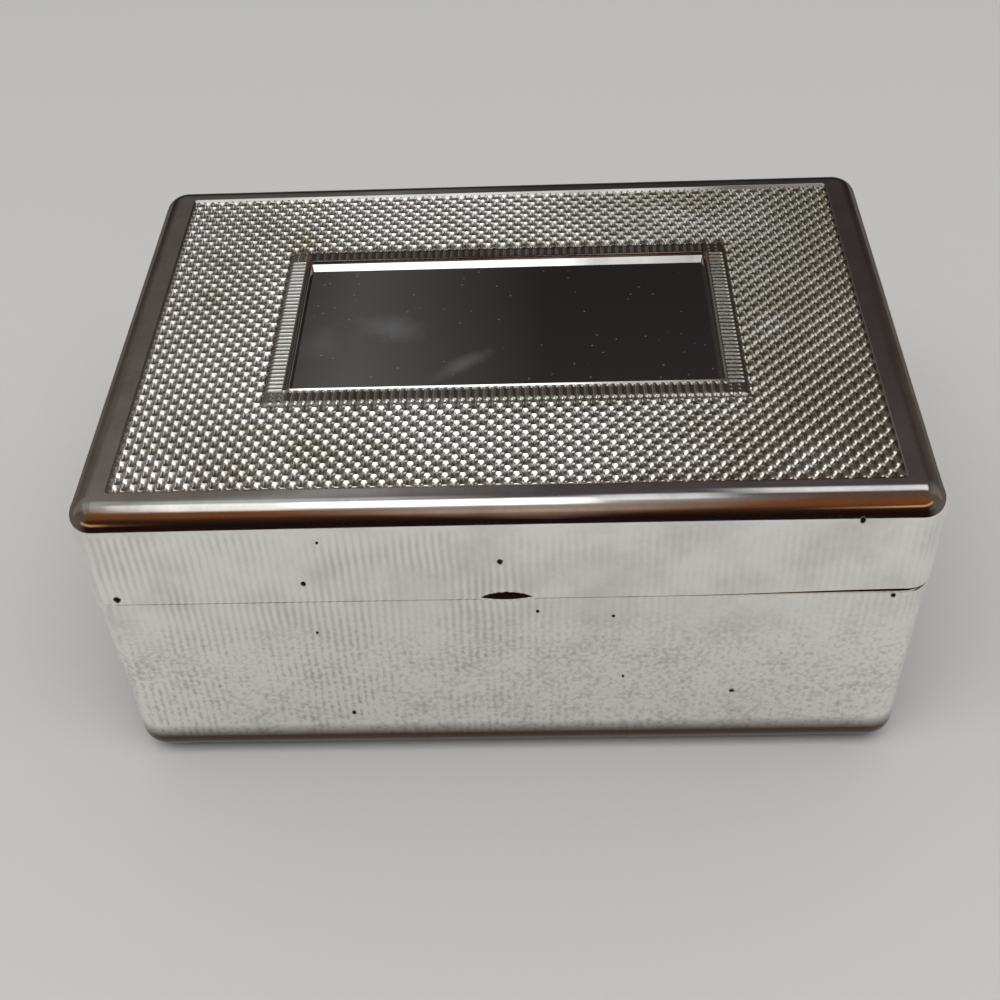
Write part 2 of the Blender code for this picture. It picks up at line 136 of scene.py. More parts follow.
class TrinketField(bpy.types.PropertyGroup):
    """Sizes of the engine-turned field, the reeded band and the framed plate on the lid."""
    side_margin: length("Side margin", "Plain border at the left and right", 6.0 * MM)
    end_margin: length("End margin", "Plain border at the front and rear", 5.0 * MM)
    depth: length("Depth", "How far the field is sunk", 0.45 * MM)
    corner: length("Field corner", "Corner radius of the sunk field", 0.5 * MM)
    rim_round: length("Field rim", "Rounding of the sunk field's rim", 0.12 * MM)
    side_slope: length("Side slope", "Width of the slope at the left and right", 0.35 * MM)
    rear_slope: length("Rear slope", "Width of the slope at the rear", 0.8 * MM)
    front_slope: length("Front slope", "Width of the slope at the front", 0.35 * MM)
    pocket: length("Pocket", "Depth of the pocket that holds the patterned sheet", 0.85 * MM)
    pitch: length("Pitch", "Length of one scale of the pattern", 2.58 * MM)
    rise: length("Rise", "Height of a scale's ramp", 0.56 * MM)
    peak: share("Peak", "Place of the peak along a scale", 0.526)
    arch: share("Arch", "How much nearer to the front the peak lies at a head's sides", 0.03)
    broad: length("Broad part", "Half width of a scale's head", 0.85 * MM)
    narrow: length("Narrow part", "Half width of a scale's stem", 0.28 * MM)
    dish: length("Dish", "How far a scale's sides rise above its middle", 0.12 * MM)
    ridge: length("Ridge", "Height of the ridges between the scales", 0.66 * MM)
    plate_length: length("Plate length", "Length over the plate's frame", 68.0 * MM)
    plate_width: length("Plate width", "Width over the plate's frame", 34.8 * MM)
    plate_setback: length("Plate setback", "How far the plate sits behind the middle", 0.9 * MM)
    plate_corner: length("Plate corner", "Corner radius of the plate's frame", 0.6 * MM)
    least_corner: length("Least corner", "Smallest corner radius inside the frame", 0.1 * MM)
    frame_rise: length("Frame rise", "Height of the frame's crest", 0.22 * MM)
    frame_outer: length("Outer slope", "Width of the frame's outer slope", 0.34 * MM)
    frame_crest: length("Crest", "Width of the frame's crest", 0.14 * MM)
    frame_inner: length("Inner slope", "Width of the frame's inner slope", 0.3 * MM)
    frame_rear: length("Rear inner slope", "Width of the frame's inner slope at the rear", 1.22 * MM)
    plate_sink: length("Plate sink", "Depth of the plate below the crest", 0.66 * MM)
    band_gap: length("Band gap", "Gap between the frame and the reeded band", 0.5 * MM)
    band_width: length("Band width", "Width of the reeded band", 3.0 * MM)
    band_bevel: length("Band bevel", "Width of the band's outer bevel", 0.6 * MM)
    band_rise: length("Band rise", "Height of the reeded band's ribs", 0.36 * MM)
    band_foot: share("Band foot", "Height of the band's furrows as a share of the ribs", 0.5)
    steps_across: count("Steps across", "Grid steps across two columns", 12)
    steps_along: count("Steps along", "Grid steps along one scale", 8)
    side_rib_steps: count("Side ribs", "Grid steps from rib to rib at the left and right", 3)


class TrinketSoft(bpy.types.PropertyGroup):
    """Sizes of the velvet panels, the cushions and the felt inside and under the box."""
    panel_round: length("Panel rounding", "Rounding of a covered panel's edges", 0.5 * MM)
    crown: length("Panel crown", "How far a panel's inner face swells", 0.15 * MM)
    end_round: length("End rounding", "Rounding of a panel's mitred ends", 0.2 * MM)
    end_gap: length("End gap", "Gap left at each mitre", 0.03 * MM)
    panel_steps: count("Panel steps", "Rings along a panel", 41)
    waves: bpy.props.FloatProperty(
        name="Waves", description="Slight waves along a panel's face", default=3.4, min=0)
    cushion_steps: count("Cushion steps", "Points along a cushion", 72)
    cushion_rows: count("Cushion rows", "Points across a cushion", 48)
    cushion_corner: length("Cushion corner", "Rounding of a cushion's corners", 6 * MM)
    start_share: share("Cushion start", "Height before the cushion is blown up, as a share", 0.55)
    rim_share: share("Cushion rim", "Height of the seam round the cushion, as a share", 0.35)
    grow: length("Cushion grow", "How much wider than its space's clearances a cushion is", 0.15 * MM)
    scale_up: bpy.props.FloatProperty(
        name="Cloth scale", description="How much larger the cloth is simulated", default=10, min=1)
    pressure: bpy.props.FloatProperty(
        name="Pressure", description="Pressure that blows a cushion up", default=6, min=0)
    frames: count("Cloth frames", "Frames that a cushion is blown up for", 20)
    felt_corner: length("Felt corner", "Corner radius of the felt", 3 * MM)
    felt_wander: length("Felt edge", "How far the felt's cut edge wanders", 0.15 * MM)


class TrinketFinish(bpy.types.PropertyGroup):
    """Colours of the finishes, and of a brown shade painted along the base's bottom edge."""
    silver: colour("Silver plate", "Bright plated metal", "#F4F2EF")
    # Also the darker side of the cloth's weave reflection painted low on the base
    tarnish: colour("Tarnish", "Plated metal where it has dulled", "#A3A09C")
    pit: colour("Pit", "Bottom of a pit in the plating", "#544F4B")
    # Also the colour of the shade painted over the patterned sheet's right half
    olive: colour("Olive tarnish", "Tarnish of the engine-turned sheet", "#CBC9BA")
    # Brown shade painted along the base's bottom edge, where it meets the floor
    painted_bottom_shade: colour("Painted bottom shade", "Brown dirt along the bottom edge", "#4A382C")
    plate: colour("Plate", "Mirror-bright plating of the bare plate, which has no haze", "#B1AEAC")
    smear: colour("Smears", "Finger smears on the plate", "#A8BFD6")
    nickel: colour("Nickel", "Satin nickel of the hinge leaves", "#BDB7AE")
    steel: colour("Steel", "Drawn wire of the hinge pin", "#A5A5A4")
    velvet: colour("Velvet", "Short pile of the linings", "#5A1020")
    velvet_shade: colour("Velvet shade", "Pile brushed the other way", "#39070F")
    velvet_bloom: colour("Velvet bloom", "Soft bloom on the velvet's pile", "#D8808C")
    card: colour("Card", "Grey-brown pressed card", "#8C8072")
    felt: colour("Felt", "Pressed felt under the base", "#232225")


class TrinketStage(bpy.types.PropertyGroup):
    """The floor, the lights and the camera."""
    floor: colour("Floor", "Pale studio floor", "#CECDCA")
    air: colour("World", "Even light from all round", "#C5C5C6")
    window: colour("Windows", "Light of the bright windows in the tent", "#FDFFFE")
    gleam: colour("Gleams", "The golden gleams low in front", "#BE8E55")
    rear_cloth: colour("Rear cloth", "The tent's cloth low behind the box", "#1C1A1B")
    grey_cloth: colour("Grey cloth", "The fence's cloth at the sides and the rear", "#5E5651")
    maroon_cloth: colour("Maroon cloth", "The fence's cloth in front", "#1C0F0F")
    window_radiance: bpy.props.FloatProperty(
        name="Window brightness", description="Brightness of the tent's windows", default=1.8, min=0)
    lamp_radiance: bpy.props.FloatProperty(
        name="Softbox", description="Brightness of the overhead softbox", default=2.3, min=0)
    lamp_length: length("Softbox length", "Length of the softbox", 1.5)
    lamp_width: length("Softbox width", "Width of the softbox", 0.62)
    lamp_place: bpy.props.FloatVectorProperty(
        name="Softbox place", description="Middle of the softbox", default=(-0.05, -0.44, 1.05),
        unit="LENGTH")
    floor_half: length("Floor size", "Half width of the floor", 3.0)
    tent_radius: length("Tent", "Radius of the tent", 2.5)
    tent_top: angle("Tent top", "How high the tent goes, as seen from the box", 89.5)
    tent_rings: count("Tent rings", "Rings of the tent", 24)
    tent_points: count("Tent points", "Points round the tent and the fence", 64)
    fence_radius: length("Fence", "Radius of the low fence of cloth round the box", 0.18)
    fence_top: angle("Fence top", "How high the fence goes, as seen from the box", 18)
    fence_rings: count("Fence rings", "Rings of the fence", 3)
    nearest: length("Nearest", "Where the camera's view starts", 10 * MM)
    farthest: length("Farthest", "Where the camera's view ends", 20.0)
    lens: bpy.props.FloatProperty(
        name="Lens", description="Focal length", default=52.14, min=1, unit="CAMERA")
    distance: length("Distance", "From the camera to the box along the view", 248.6 * MM)
    pitch: angle("Pitch", "How far the camera looks down", 43.26)
    yaw: angle("Yaw", "How far the box is turned to the camera", -2.83)
    roll: angle("Roll", "How far the camera leans", 3.05)
    across: length("Across", "Sideways place of the box in the view", 2.4 * MM)
    up: length("Up", "Upward place of the box in the view", 15.5 * MM)


GROUPS = {
    "trinket_shells": TrinketShells,
    "trinket_field": TrinketField,
    "trinket_soft": TrinketSoft,
    "trinket_finish": TrinketFinish,
    "trinket_stage": TrinketStage,
}


class Skin:
    """Collects the points and faces of one closed surface."""

    def __init__(self):
        self.points = []
        self.faces = []
        self.total = 0

    def add(self, points):
        """Add an array of points and return their numbers in the same arrangement."""
        points = np.asarray(points, float)
        number = points.size // 3
        self.points.append(points.reshape(-1, 3))
        self.total += number
        return np.arange(self.total - number, self.total).reshape(points.shape[:-1])

    def weave(self, rings):
        """Join each ring to the next with quads, closing every ring on itself."""
        near = rings[:-1]
        far = rings[1:]
        quads = np.stack((near, np.roll(near, -1, 1), np.roll(far, -1, 1), far), -1)
        self.faces.extend(quads.reshape(-1, 4).tolist())

    def cap(self, ring):
        """Close a ring with one flat face."""
        self.faces.append([int(number) for number in ring])

    def build(self, name, fold):
        """Make the object, shaded smooth up to a fold between its faces."""
        mesh = bpy.data.meshes.new(name)
        mesh.from_pydata(np.concatenate(self.points).tolist(), [], self.faces)
        mesh.update()
        mesh.shade_smooth()
        mesh.set_sharp_from_angle(angle=fold)
        obj = bpy.data.objects.new(name, mesh)
        bpy.context.scene.collection.objects.link(obj)
        return obj


def sweep(name, rings, fold):
    """Join rings to one closed surface, with a flat cap at each end."""
    skin = Skin()
    numbers = skin.add(rings)
    skin.weave(numbers)
    skin.cap(numbers[0][::-1])
    skin.cap(numbers[-1])
    return skin.build(name, fold)


def dress(obj, material, body, slot, *nodes):
    """Give a piece its material and its body, and hide the imported nodes that it stands for.  Its slot is
    not used.
    """
    obj.data.materials.append(material)
    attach(obj, body)
    if nodes:
        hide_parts(*nodes)
    return obj


# Outward direction of the front, right, rear and left, and the direction of going along each
SIDES = (((0, -1), (1, 0)), ((1, 0), (0, 1)), ((0, 1), (-1, 0)), ((-1, 0), (0, -1)))


def plan_spots(runs, corner_steps):
    """Return the spots round a rounded rectangle, anticlockwise from the left end of the front.

    A spot is a straight share, from -1 to 1 along x and y, and an arc direction.  The point of a spot is the
    share times the straight half side plus the radius times the direction.  Each run lists the shares of the
    points between two corners.
    """
    shares = []
    arcs = []
    for (outward, along), run in zip(np.array(SIDES, float), runs):
        shares.append(outward + along * np.asarray(run, float)[:, None])
        arcs.append(np.repeat(outward[None], len(run), 0))
        turn = np.linspace(0, math.pi / 2, corner_steps + 1)[:, None]
        shares.append(np.repeat((outward + along)[None], corner_steps + 1, 0))
        arcs.append(outward * np.cos(turn) + along * np.sin(turn))
    return np.concatenate(shares), np.concatenate(arcs)


def ring(spots, half, radius):
    """Return the plan points of a rounded rectangle with these half sides and this corner radius."""
    shares, arcs = spots
    return shares * (np.asarray(half) - radius) + arcs * radius


def raised(plan, height):
    """Give plan points their height, one for all or one each."""
    return np.column_stack((plan, np.broadcast_to(height, len(plan))))


def rear_cut(plan, shells):
    """Return how far a rim is cut back from the seam at each plan point.

    A wedge whose apex is the hinge axis bevels the rear rims, so that they meet just past the full opening.
    Along the barrel a round channel of the given radius is cut as well.
    """
    behind = plan[:, 1] - HINGE_AXIS.y
    wedge = np.maximum(behind, 0) * math.tan((OPENING_ANGLE + shells.stop_clearance) / 2)
    round_cut = np.sqrt(np.maximum(shells.channel ** 2 - behind ** 2, 0))
    beside = np.abs(plan[:, 0]) < PIN_END + shells.channel_gap
    return np.maximum(wedge, np.where(beside, round_cut, 0))


def lip_push(plan, above_rim, shells):
    """Return how far the thumb lip pushes the front wall out.

    It is a slanting face above a low upright edge.  The face's top follows a parabola across the lip.
    """
    across = np.clip(np.abs(plan[:, 0]) / (shells.lip_length / 2), 0, 1)
    top = shells.lip_edge + shells.lip_height * (1 - across ** 2)
    left = np.maximum(top - np.maximum(above_rim, shells.lip_edge), 0)
    return np.where(plan[:, 1] < 0, left * shells.lip_reach / shells.lip_height, 0)


# From where to where the lid's rim is bent up ever more, to the right and to the front
BEND_RIGHTWARDS = (24 * MM, 60 * MM)
BEND_FORWARDS = (25 * MM, 42 * MM)


def bent_rim(plan, shells):
    """Return how far the lid's rim is bent up at each plan point, growing towards its right front corner."""
    return shells.lift * smooth_step(*BEND_RIGHTWARDS, plan[:, 0]) * smooth_step(*BEND_FORWARDS, -plan[:, 1])


def rim_cut(plan, rim_z, side, shells):
    """Return how far a rim stands off the seam at each plan point, with the lid's rim bent up."""
    cut_back = np.maximum(rear_cut(plan, shells), side * (rim_z - HINGE_AXIS.z))
    return cut_back + bent_rim(plan, shells) if side > 0 else cut_back


def wall_ring(spots, half, radius, height, push=0):
    """Return a ring of a wall at these heights, its front pushed out."""
    plan = ring(spots, half, radius)
    points = raised(plan, height)
    points[:, 1] -= push
    return points


# Shares of the points along the front, right, rear and left of a shell, close together along the thumb lip
# and at the ends of the hinge's channel
WALL_RUNS = (
    np.concatenate((
        np.linspace(-0.95, -0.09, 12), np.linspace(-0.08, 0.08, 33), np.linspace(0.09, 0.95, 12))),
    np.linspace(-0.93, 0.93, 15),
    np.concatenate((
        np.linspace(-0.95, -0.845, 3), (-0.8435, -0.8425), np.linspace(-0.8, 0.8, 21),
        (0.8425, 0.8435), np.linspace(0.845, 0.95, 3))),
    np.linspace(-0.93, 0.93, 15))
# Shares of a wall's height above its rim where it has rings, close together along the thumb lip
WALL_SHARES = (0.6, 0.3, *np.linspace(0.115, 0.025, 10), 0.0)
# Places of the rings across the rim's cut edge, as shares of the sheet
RIM_SHARES = (0.3, 0.5, 0.7)
CORNER_STEPS = 14
EDGE_STEPS = 16


def edge_arc(radius, steps):
    """Return the inset and the drop of each point along a quarter round, from the flat to the wall."""
    turn = np.linspace(math.pi / 2, 0, steps + 1)
    return radius * (1 - np.cos(turn)), radius * (1 - np.sin(turn))


def shell_rings(spots, half, shells, edge, closed_z, rim_z, side):
    """Return the rings of a pressed tub's inner side, rim and outer side.

    The rings start at the flat inside, run down the quarter round and the wall to the rim, turn over the
    rim's rounded edge and run back up the outer wall and its quarter round.  The side is 1 for the lid, whose
    closed end is on top and which has the thumb lip, and -1 for the base.  The half sides are a function of
    the height.
    """
    rings = []
    for sheet, order in ((shells.sheet, 1), (0, -1)):
        walls = []
        flat_z = closed_z - side * sheet
        for step_in, step_down in zip(*edge_arc(edge - sheet, EDGE_STEPS)):
            height = flat_z - side * step_down
            radius = max(shells.corner - sheet - step_in, shells.rim_round)
            walls.append(wall_ring(spots, half(height) - sheet - step_in, radius, height))
        wall_end = flat_z - side * (edge - sheet)
        plan = ring(spots, half(rim_z) - sheet, shells.corner - sheet)
        rim = HINGE_AXIS.z + side * (rim_cut(plan, rim_z, side, shells) + shells.rim_round)
        for share_up in WALL_SHARES:
            height = rim + (wall_end - rim) * share_up
            push = lip_push(plan, side * (height - rim_z), shells) if side > 0 else 0
            middle = float(np.median(height))
            walls.append(wall_ring(spots, half(middle) - sheet, shells.corner - sheet, height, push))
        rings.extend(walls[::order])
        if order == 1:
            for share_in in RIM_SHARES:
                inner = sheet * (1 - share_in)
                plan = ring(spots, half(rim_z) - inner, shells.corner - inner)
                height = HINGE_AXIS.z + side * rim_cut(plan, rim_z, side, shells)
                push = lip_push(plan, 0, shells) if side > 0 else 0
                rings.append(wall_ring(spots, half(rim_z) - inner, shells.corner - inner, height, push))
    return np.array(rings)


def smooth_step(low, high, value):
    """Return 0 below the low value and 1 above the high one, with a soft step between."""
    part = np.clip((value - low) / (high - low), 0, 1)
    return part * part * (3 - 2 * part)


# Where a scale starts and ends to widen and to narrow again, along its length
SWELL_SHARES = (0.2, 0.4, 0.4, 0.76)
# Place of the columns along the lid, as a share of the pitch
COLUMN_SHARE = 0.151
# Powers of the distance by which the ramp steepens to its peak, the dish to its sides and the head's arch
RAMP_POWER = 1.6
DISH_POWER = 6
ARCH_POWER = 4


def scale_relief(x, y, field):
    """Return the height of the engine-turned scales above the foot of their ramps.

    Columns run from front to rear, half a pitch apart, and every second one is set off by half a pitch.  In
    a column each scale is a dished ramp: it climbs rearwards ever more steeply to its peak and drops again.
    The peak lies nearer to the front at the sides, so the head is arched.  Across the scale the height grows
    with a high power of the distance over the half width, which swells from the stem to the head.  The lowest
    column wins, and nothing goes above the ridges.
    """
    column = field.pitch / 2
    start, full, end, gone = SWELL_SHARES
    nearest = np.round(x / column - 0.5)
    height = np.full(x.shape, field.ridge)
    for neighbour in (-1, 0, 1):
        number = nearest + neighbour
        along = (y / field.pitch + number / 2 + COLUMN_SHARE) % 1
        off = np.abs(x - (number + 0.5) * column)
        peak = field.peak - field.arch * np.minimum(off / field.broad, 1) ** ARCH_POWER
        ramp = np.where(along < peak, along / peak, (1 - along) / (1 - peak)) ** RAMP_POWER
        swell = smooth_step(start, full, along) * (1 - smooth_step(end, gone, along))
        width = field.narrow + (field.broad - field.narrow) * swell
        height = np.minimum(height, field.rise * ramp + field.dish * (off / width) ** DISH_POWER)
    return height


def plate_bounds(field, grow):
    """Return the low and the high corner of the plate's frame, grown on each side."""
    half = np.array((field.plate_length / 2 + grow, field.plate_width / 2 + grow))
    middle = np.array((0, field.plate_setback))
    return middle - half, middle + half


def field_bounds(field, foot):
    """Return the low and the high corner of the field, at its rim or at the foot of its slope."""
    rim = LID_HALF - (field.side_margin, field.end_margin)
    if not foot:
        return -rim, rim
    return -rim + (field.side_slope, field.front_slope), rim - (field.side_slope, field.rear_slope)


def field_height(x, y, field):
    """Return the height of the patterned sheet.

    Outside the reeded band it carries the scales.  The band has a bevel on its outer side.  Its ribs run away
    from the plate and cross at the corners; they are the upper halves of cosines, half a pitch apart in front
    and behind, and a little closer at the left and right.
    """
    low, high = plate_bounds(field, field.band_gap)
    out_x = np.maximum(x - high[0], low[0] - x)
    out_y = np.maximum(y - high[1], low[1] - y)
    out = np.maximum(out_x, out_y)
    side_rib = 2 * math.pi * field.steps_along / (field.side_rib_steps * field.pitch)
    end_rib = 2 * math.pi / (field.pitch / 2)
    beside = np.where(out_x > 0, np.maximum(np.cos(side_rib * y), 0), 1)
    before = np.where(out_y > 0, np.maximum(np.cos(end_rib * x), 0), 1)
    level = field.band_foot + (1 - field.band_foot) * beside * before
    bevel = np.clip((field.band_width - out) / field.band_bevel, 0, 1)
    floor = LID_HIGH.z - field.depth
    scales = LID_HIGH.z - field.ridge + scale_relief(x, y, field)
    return np.where(out > field.band_width, scales, floor + field.band_rise * bevel * level)


# A grid line that lies nearer to an edge than this share of a step is left out
NEAR_SHARE = 0.2


def grid_lines(low, high, step):
    """Return grid lines at whole steps between two edges, with the edges themselves."""
    first = math.ceil(low / step + NEAR_SHARE)
    last = math.floor(high / step - NEAR_SHARE)
    return np.concatenate(((low,), step * np.arange(first, last + 1), (high,)))


def edge_runs(numbers):
    """Return the four sides of a grid of point numbers, anticlockwise from the front."""
    return numbers[:, 0], numbers[-1, :], numbers[::-1, -1], numbers[0, ::-1]


def add_field(context):
    """Press the patterned sheet that lies in the lid's pocket, as a grid with an opening for the plate.

    Every square of the grid is cut along the diagonal whose ends differ less in height.
    """
    field = context.scene.trinket_field
    low, high = field_bounds(field, True)
    lines_x = grid_lines(low[0], high[0], field.pitch / field.steps_across)
    lines_y = grid_lines(low[1], high[1], field.pitch / field.steps_along)
    x, y = np.meshgrid(lines_x, lines_y, indexing="ij")
    z = field_height(x, y, field)
    hole_low, hole_high = plate_bounds(field, field.band_gap)
    columns = np.flatnonzero((lines_x > hole_low[0]) & (lines_x < hole_high[0]))
    rows = np.flatnonzero((lines_y > hole_low[1]) & (lines_y < hole_high[1]))
    hole = (slice(columns[0], columns[-1] + 1), slice(rows[0], rows[-1] + 1))
    inside = (slice(columns[0] + 1, columns[-1]), slice(rows[0] + 1, rows[-1]))
    kept = np.ones(x.shape, bool)
    kept[inside] = False
    skin = Skin()
    numbers = np.full(x.shape, -1)
    numbers[kept] = skin.add(np.stack((x, y, z), -1)[kept])
    solid = np.ones((len(lines_x) - 1, len(lines_y) - 1), bool)
    solid[columns[0]:columns[-1], rows[0]:rows[-1]] = False
    corners = [numbers[:-1, :-1], numbers[1:, :-1], numbers[1:, 1:], numbers[:-1, 1:]]
    left_front, right_front, right_rear, left_rear = [corner[solid] for corner in corners]
    rising = np.abs(z[1:, 1:] - z[:-1, :-1])[solid] < np.abs(z[1:, :-1] - z[:-1, 1:])[solid]
    first = np.where(rising, (left_front, right_front, right_rear), (left_front, right_front, left_rear))
    second = np.where(rising, (left_front, right_rear, left_rear), (right_front, right_rear, left_rear))
    skin.faces.extend(first.T.tolist())
    skin.faces.extend(second.T.tolist())
    under = np.stack((x, y, np.full(x.shape, LID_HIGH.z - field.pocket)), -1)
    outside = wall_up(skin, numbers, under, (slice(None), slice(None)), 1)
    opening = wall_up(skin, numbers, under, hole, -1)
    for outer, inner in zip(outside, opening):
        skin.cap([*inner, *outer[::-1]])
    return skin.build("patterned_sheet", PATTERN_FOLD)


def wall_up(skin, numbers, under, part, side):
    """Wall up the edge of a part of the grid down to its underside, and return the underside's four runs."""
    bottom = [skin.add(run[:-1]) for run in edge_runs(under[part])]
    runs = [np.append(run, after[0]) for run, after in zip(bottom, bottom[1:] + bottom[:1])]
    for top_run, low_run in zip(edge_runs(numbers[part]), runs):
        quads = np.stack((low_run[:-1], low_run[1:], top_run[1:], top_run[:-1]), -1)
        skin.faces.extend(quads[:, ::side].tolist())
    return runs


def flat_ring(spots, low, high, radius, height):
    """Return a level ring between two corners."""
    middle = (low + high) / 2
    return raised(ring(spots, (high - low) / 2, radius) + middle, height)


def plate_rings(spots, field):
    """Return the rings of the plate's frame and the plate's edge, as a profile from outside to inside.

    The frame's inner slope is wide at the rear and narrow at the other sides.
    """
    floor = LID_HIGH.z - field.depth
    crest = floor + field.frame_rise
    crest_end = field.frame_outer + field.frame_crest
    profile = (
        (0, 0, LID_HIGH.z - field.pocket),
        (0, 0, floor),
        (field.frame_outer, 0, crest),
        (crest_end, 0, crest),
        (crest_end + field.frame_inner, field.frame_rear - field.frame_inner, crest - field.plate_sink))
    rings = []
    for inset, rear_inset, height in profile:
        low, high = plate_bounds(field, -inset)
        high[1] -= rear_inset
        corner = max(field.plate_corner - inset, field.least_corner)
        rings.append(flat_ring(spots, low, high, corner, height))
    return rings


def add_lid(context):
    """Press the lid as one closed sheet, with its plate, thumb lip and bevelled rear rim."""
    shells = context.scene.trinket_shells
    field = context.scene.trinket_field
    top = LID_HIGH.z
    spots = plan_spots(WALL_RUNS, CORNER_STEPS)
    rings = list(shell_rings(spots, lambda height: LID_HALF, shells, shells.lid_edge, top, LID_LOW.z, 1))
    low, high = field_bounds(field, False)
    foot_low, foot_high = field_bounds(field, True)
    corner = field.corner
    rim = field.rim_round
    rings.append(flat_ring(spots, low - rim, high + rim, corner + rim, top))
    rings.append(flat_ring(spots, low, high, corner, top - rim / 4))
    rings.append(flat_ring(spots, foot_low, foot_high, corner / 2, top - field.depth))
    rings.append(flat_ring(spots, foot_low, foot_high, corner / 2, top - field.pocket))
    rings.extend(plate_rings(spots, field))
    return sweep("pressed_lid", rings, METAL_FOLD)


def add_base(context):
    """Press the base as one closed tapered tub with a bevelled rear rim."""
    shells = context.scene.trinket_shells
    spots = plan_spots(WALL_RUNS, CORNER_STEPS)

    def half(height):
        sunk = (BASE_HIGH.z - height) / (BASE_HIGH.z - BASE_LOW.z)
        return BASE_HALF - shells.draft * np.clip(sunk, 0, 1)

    rings = shell_rings(spots, half, shells, shells.base_edge, BASE_LOW.z, BASE_HIGH.z, -1)
    return sweep("pressed_base", rings[::-1], METAL_FOLD)


# Shares of the points along the straight parts of a panel's section, and steps round its corners
SECTION_RUN = np.linspace(-0.9, 0.9, 7)
SECTION_CORNER_STEPS = 5
# How far the plain part of a panel runs, as a share of its length
PANEL_SHARE = 0.985
# How far the middle ring of a rounded end draws in, as a share of the rounding
END_SHARE = 0.3
# Depth of the slow waves, as a share of the crown
WAVE_SHARE = 0.3


def add_panel(name, node, side, soft):
    """Cover a card panel with velvet: a rounded section swept between its mitred ends.

    Seen from its end, a panel is a rounded rectangle.  Its inner face swells by the crown times one less the
    square of the height's share, and a little less in the slow waves along it.  Its ends are cut at 45
    degrees, so each point's run along the side is the half length less its own depth from the outer face.
    The last rings draw in to round the ends.
    """
    low, high = (np.array(corner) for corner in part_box(node))
    outward, along = np.array(SIDES[side], float)
    middle = (low + high) / 2
    half = (high - low) / 2
    half_length = abs(half[:2] @ along)
    half_depth = abs(half[:2] @ outward)
    spots = plan_spots([SECTION_RUN] * len(SIDES), SECTION_CORNER_STEPS)
    section = ring(spots, (half_depth, half[2]), soft.panel_round)
    plain = np.linspace(-PANEL_SHARE, PANEL_SHARE, soft.panel_steps)
    runs = np.concatenate(((-1, -1, -1), plain, (1, 1, 1)))
    drawn = np.zeros(len(runs))
    drawn[:2] = drawn[:-3:-1] = soft.end_round, soft.end_round * END_SHARE
    back = np.zeros(len(runs))
    back[1:3] = back[-2:-4:-1] = soft.end_round * END_SHARE, soft.end_round
    inset = drawn[:, None]
    across = section[:, 0] * (1 - inset / half_depth)
    height = section[:, 1] * (1 - inset / half[2])
    share_up = height / half[2]
    hollow = soft.crown * share_up ** 2 * (across < 0)
    swing = 1 + np.sin(runs * soft.waves * math.pi + side)
    wave = WAVE_SHARE * soft.crown * swing[:, None] * (across < 0)
    across = across + hollow + wave * (1 - share_up ** 2)
    reach = half_length - soft.end_gap - back[:, None] - (half_depth - across)
    travel = runs[:, None] * reach
    points = np.empty((*travel.shape, 3))
    points[..., :2] = middle[:2] + across[..., None] * outward + travel[..., None] * along
    points[..., 2] = middle[2] + height
    return sweep(name, points, PANEL_FOLD)


def blow_up(obj, glued, soft):
    """Blow a closed sheet up with Blender's cloth, its underside glued down, and return its new points."""
    group = obj.vertex_groups.new(name="glued")
    group.add(glued, 1, "REPLACE")
    cloth = obj.modifiers.new("cloth", "CLOTH")
    cloth.settings.vertex_group_mass = "glued"
    cloth.settings.use_pressure = True
    cloth.settings.uniform_pressure_force = soft.pressure
    cloth.settings.effector_weights.gravity = 0
    scene = bpy.context.scene
    for number in range(1, soft.frames + 1):
        scene.frame_set(number)
    blown = obj.evaluated_get(bpy.context.evaluated_depsgraph_get()).data
    points = np.empty(len(blown.vertices) * 3)
    blown.vertices.foreach_get("co", points)
    scene.frame_set(1)
    obj.modifiers.remove(cloth)
    obj.vertex_groups.clear()
    return points.reshape(-1, 3)


# How far a cushion's corner points are drawn in, as a share of the corner: one less the sine of 45 degrees
CORNER_PULL = 0.29
# Powers of the distance from the middle by which a cushion falls to its rim and its seam to the card
PILLOW_POWER = 8
SEAM_POWER = 60


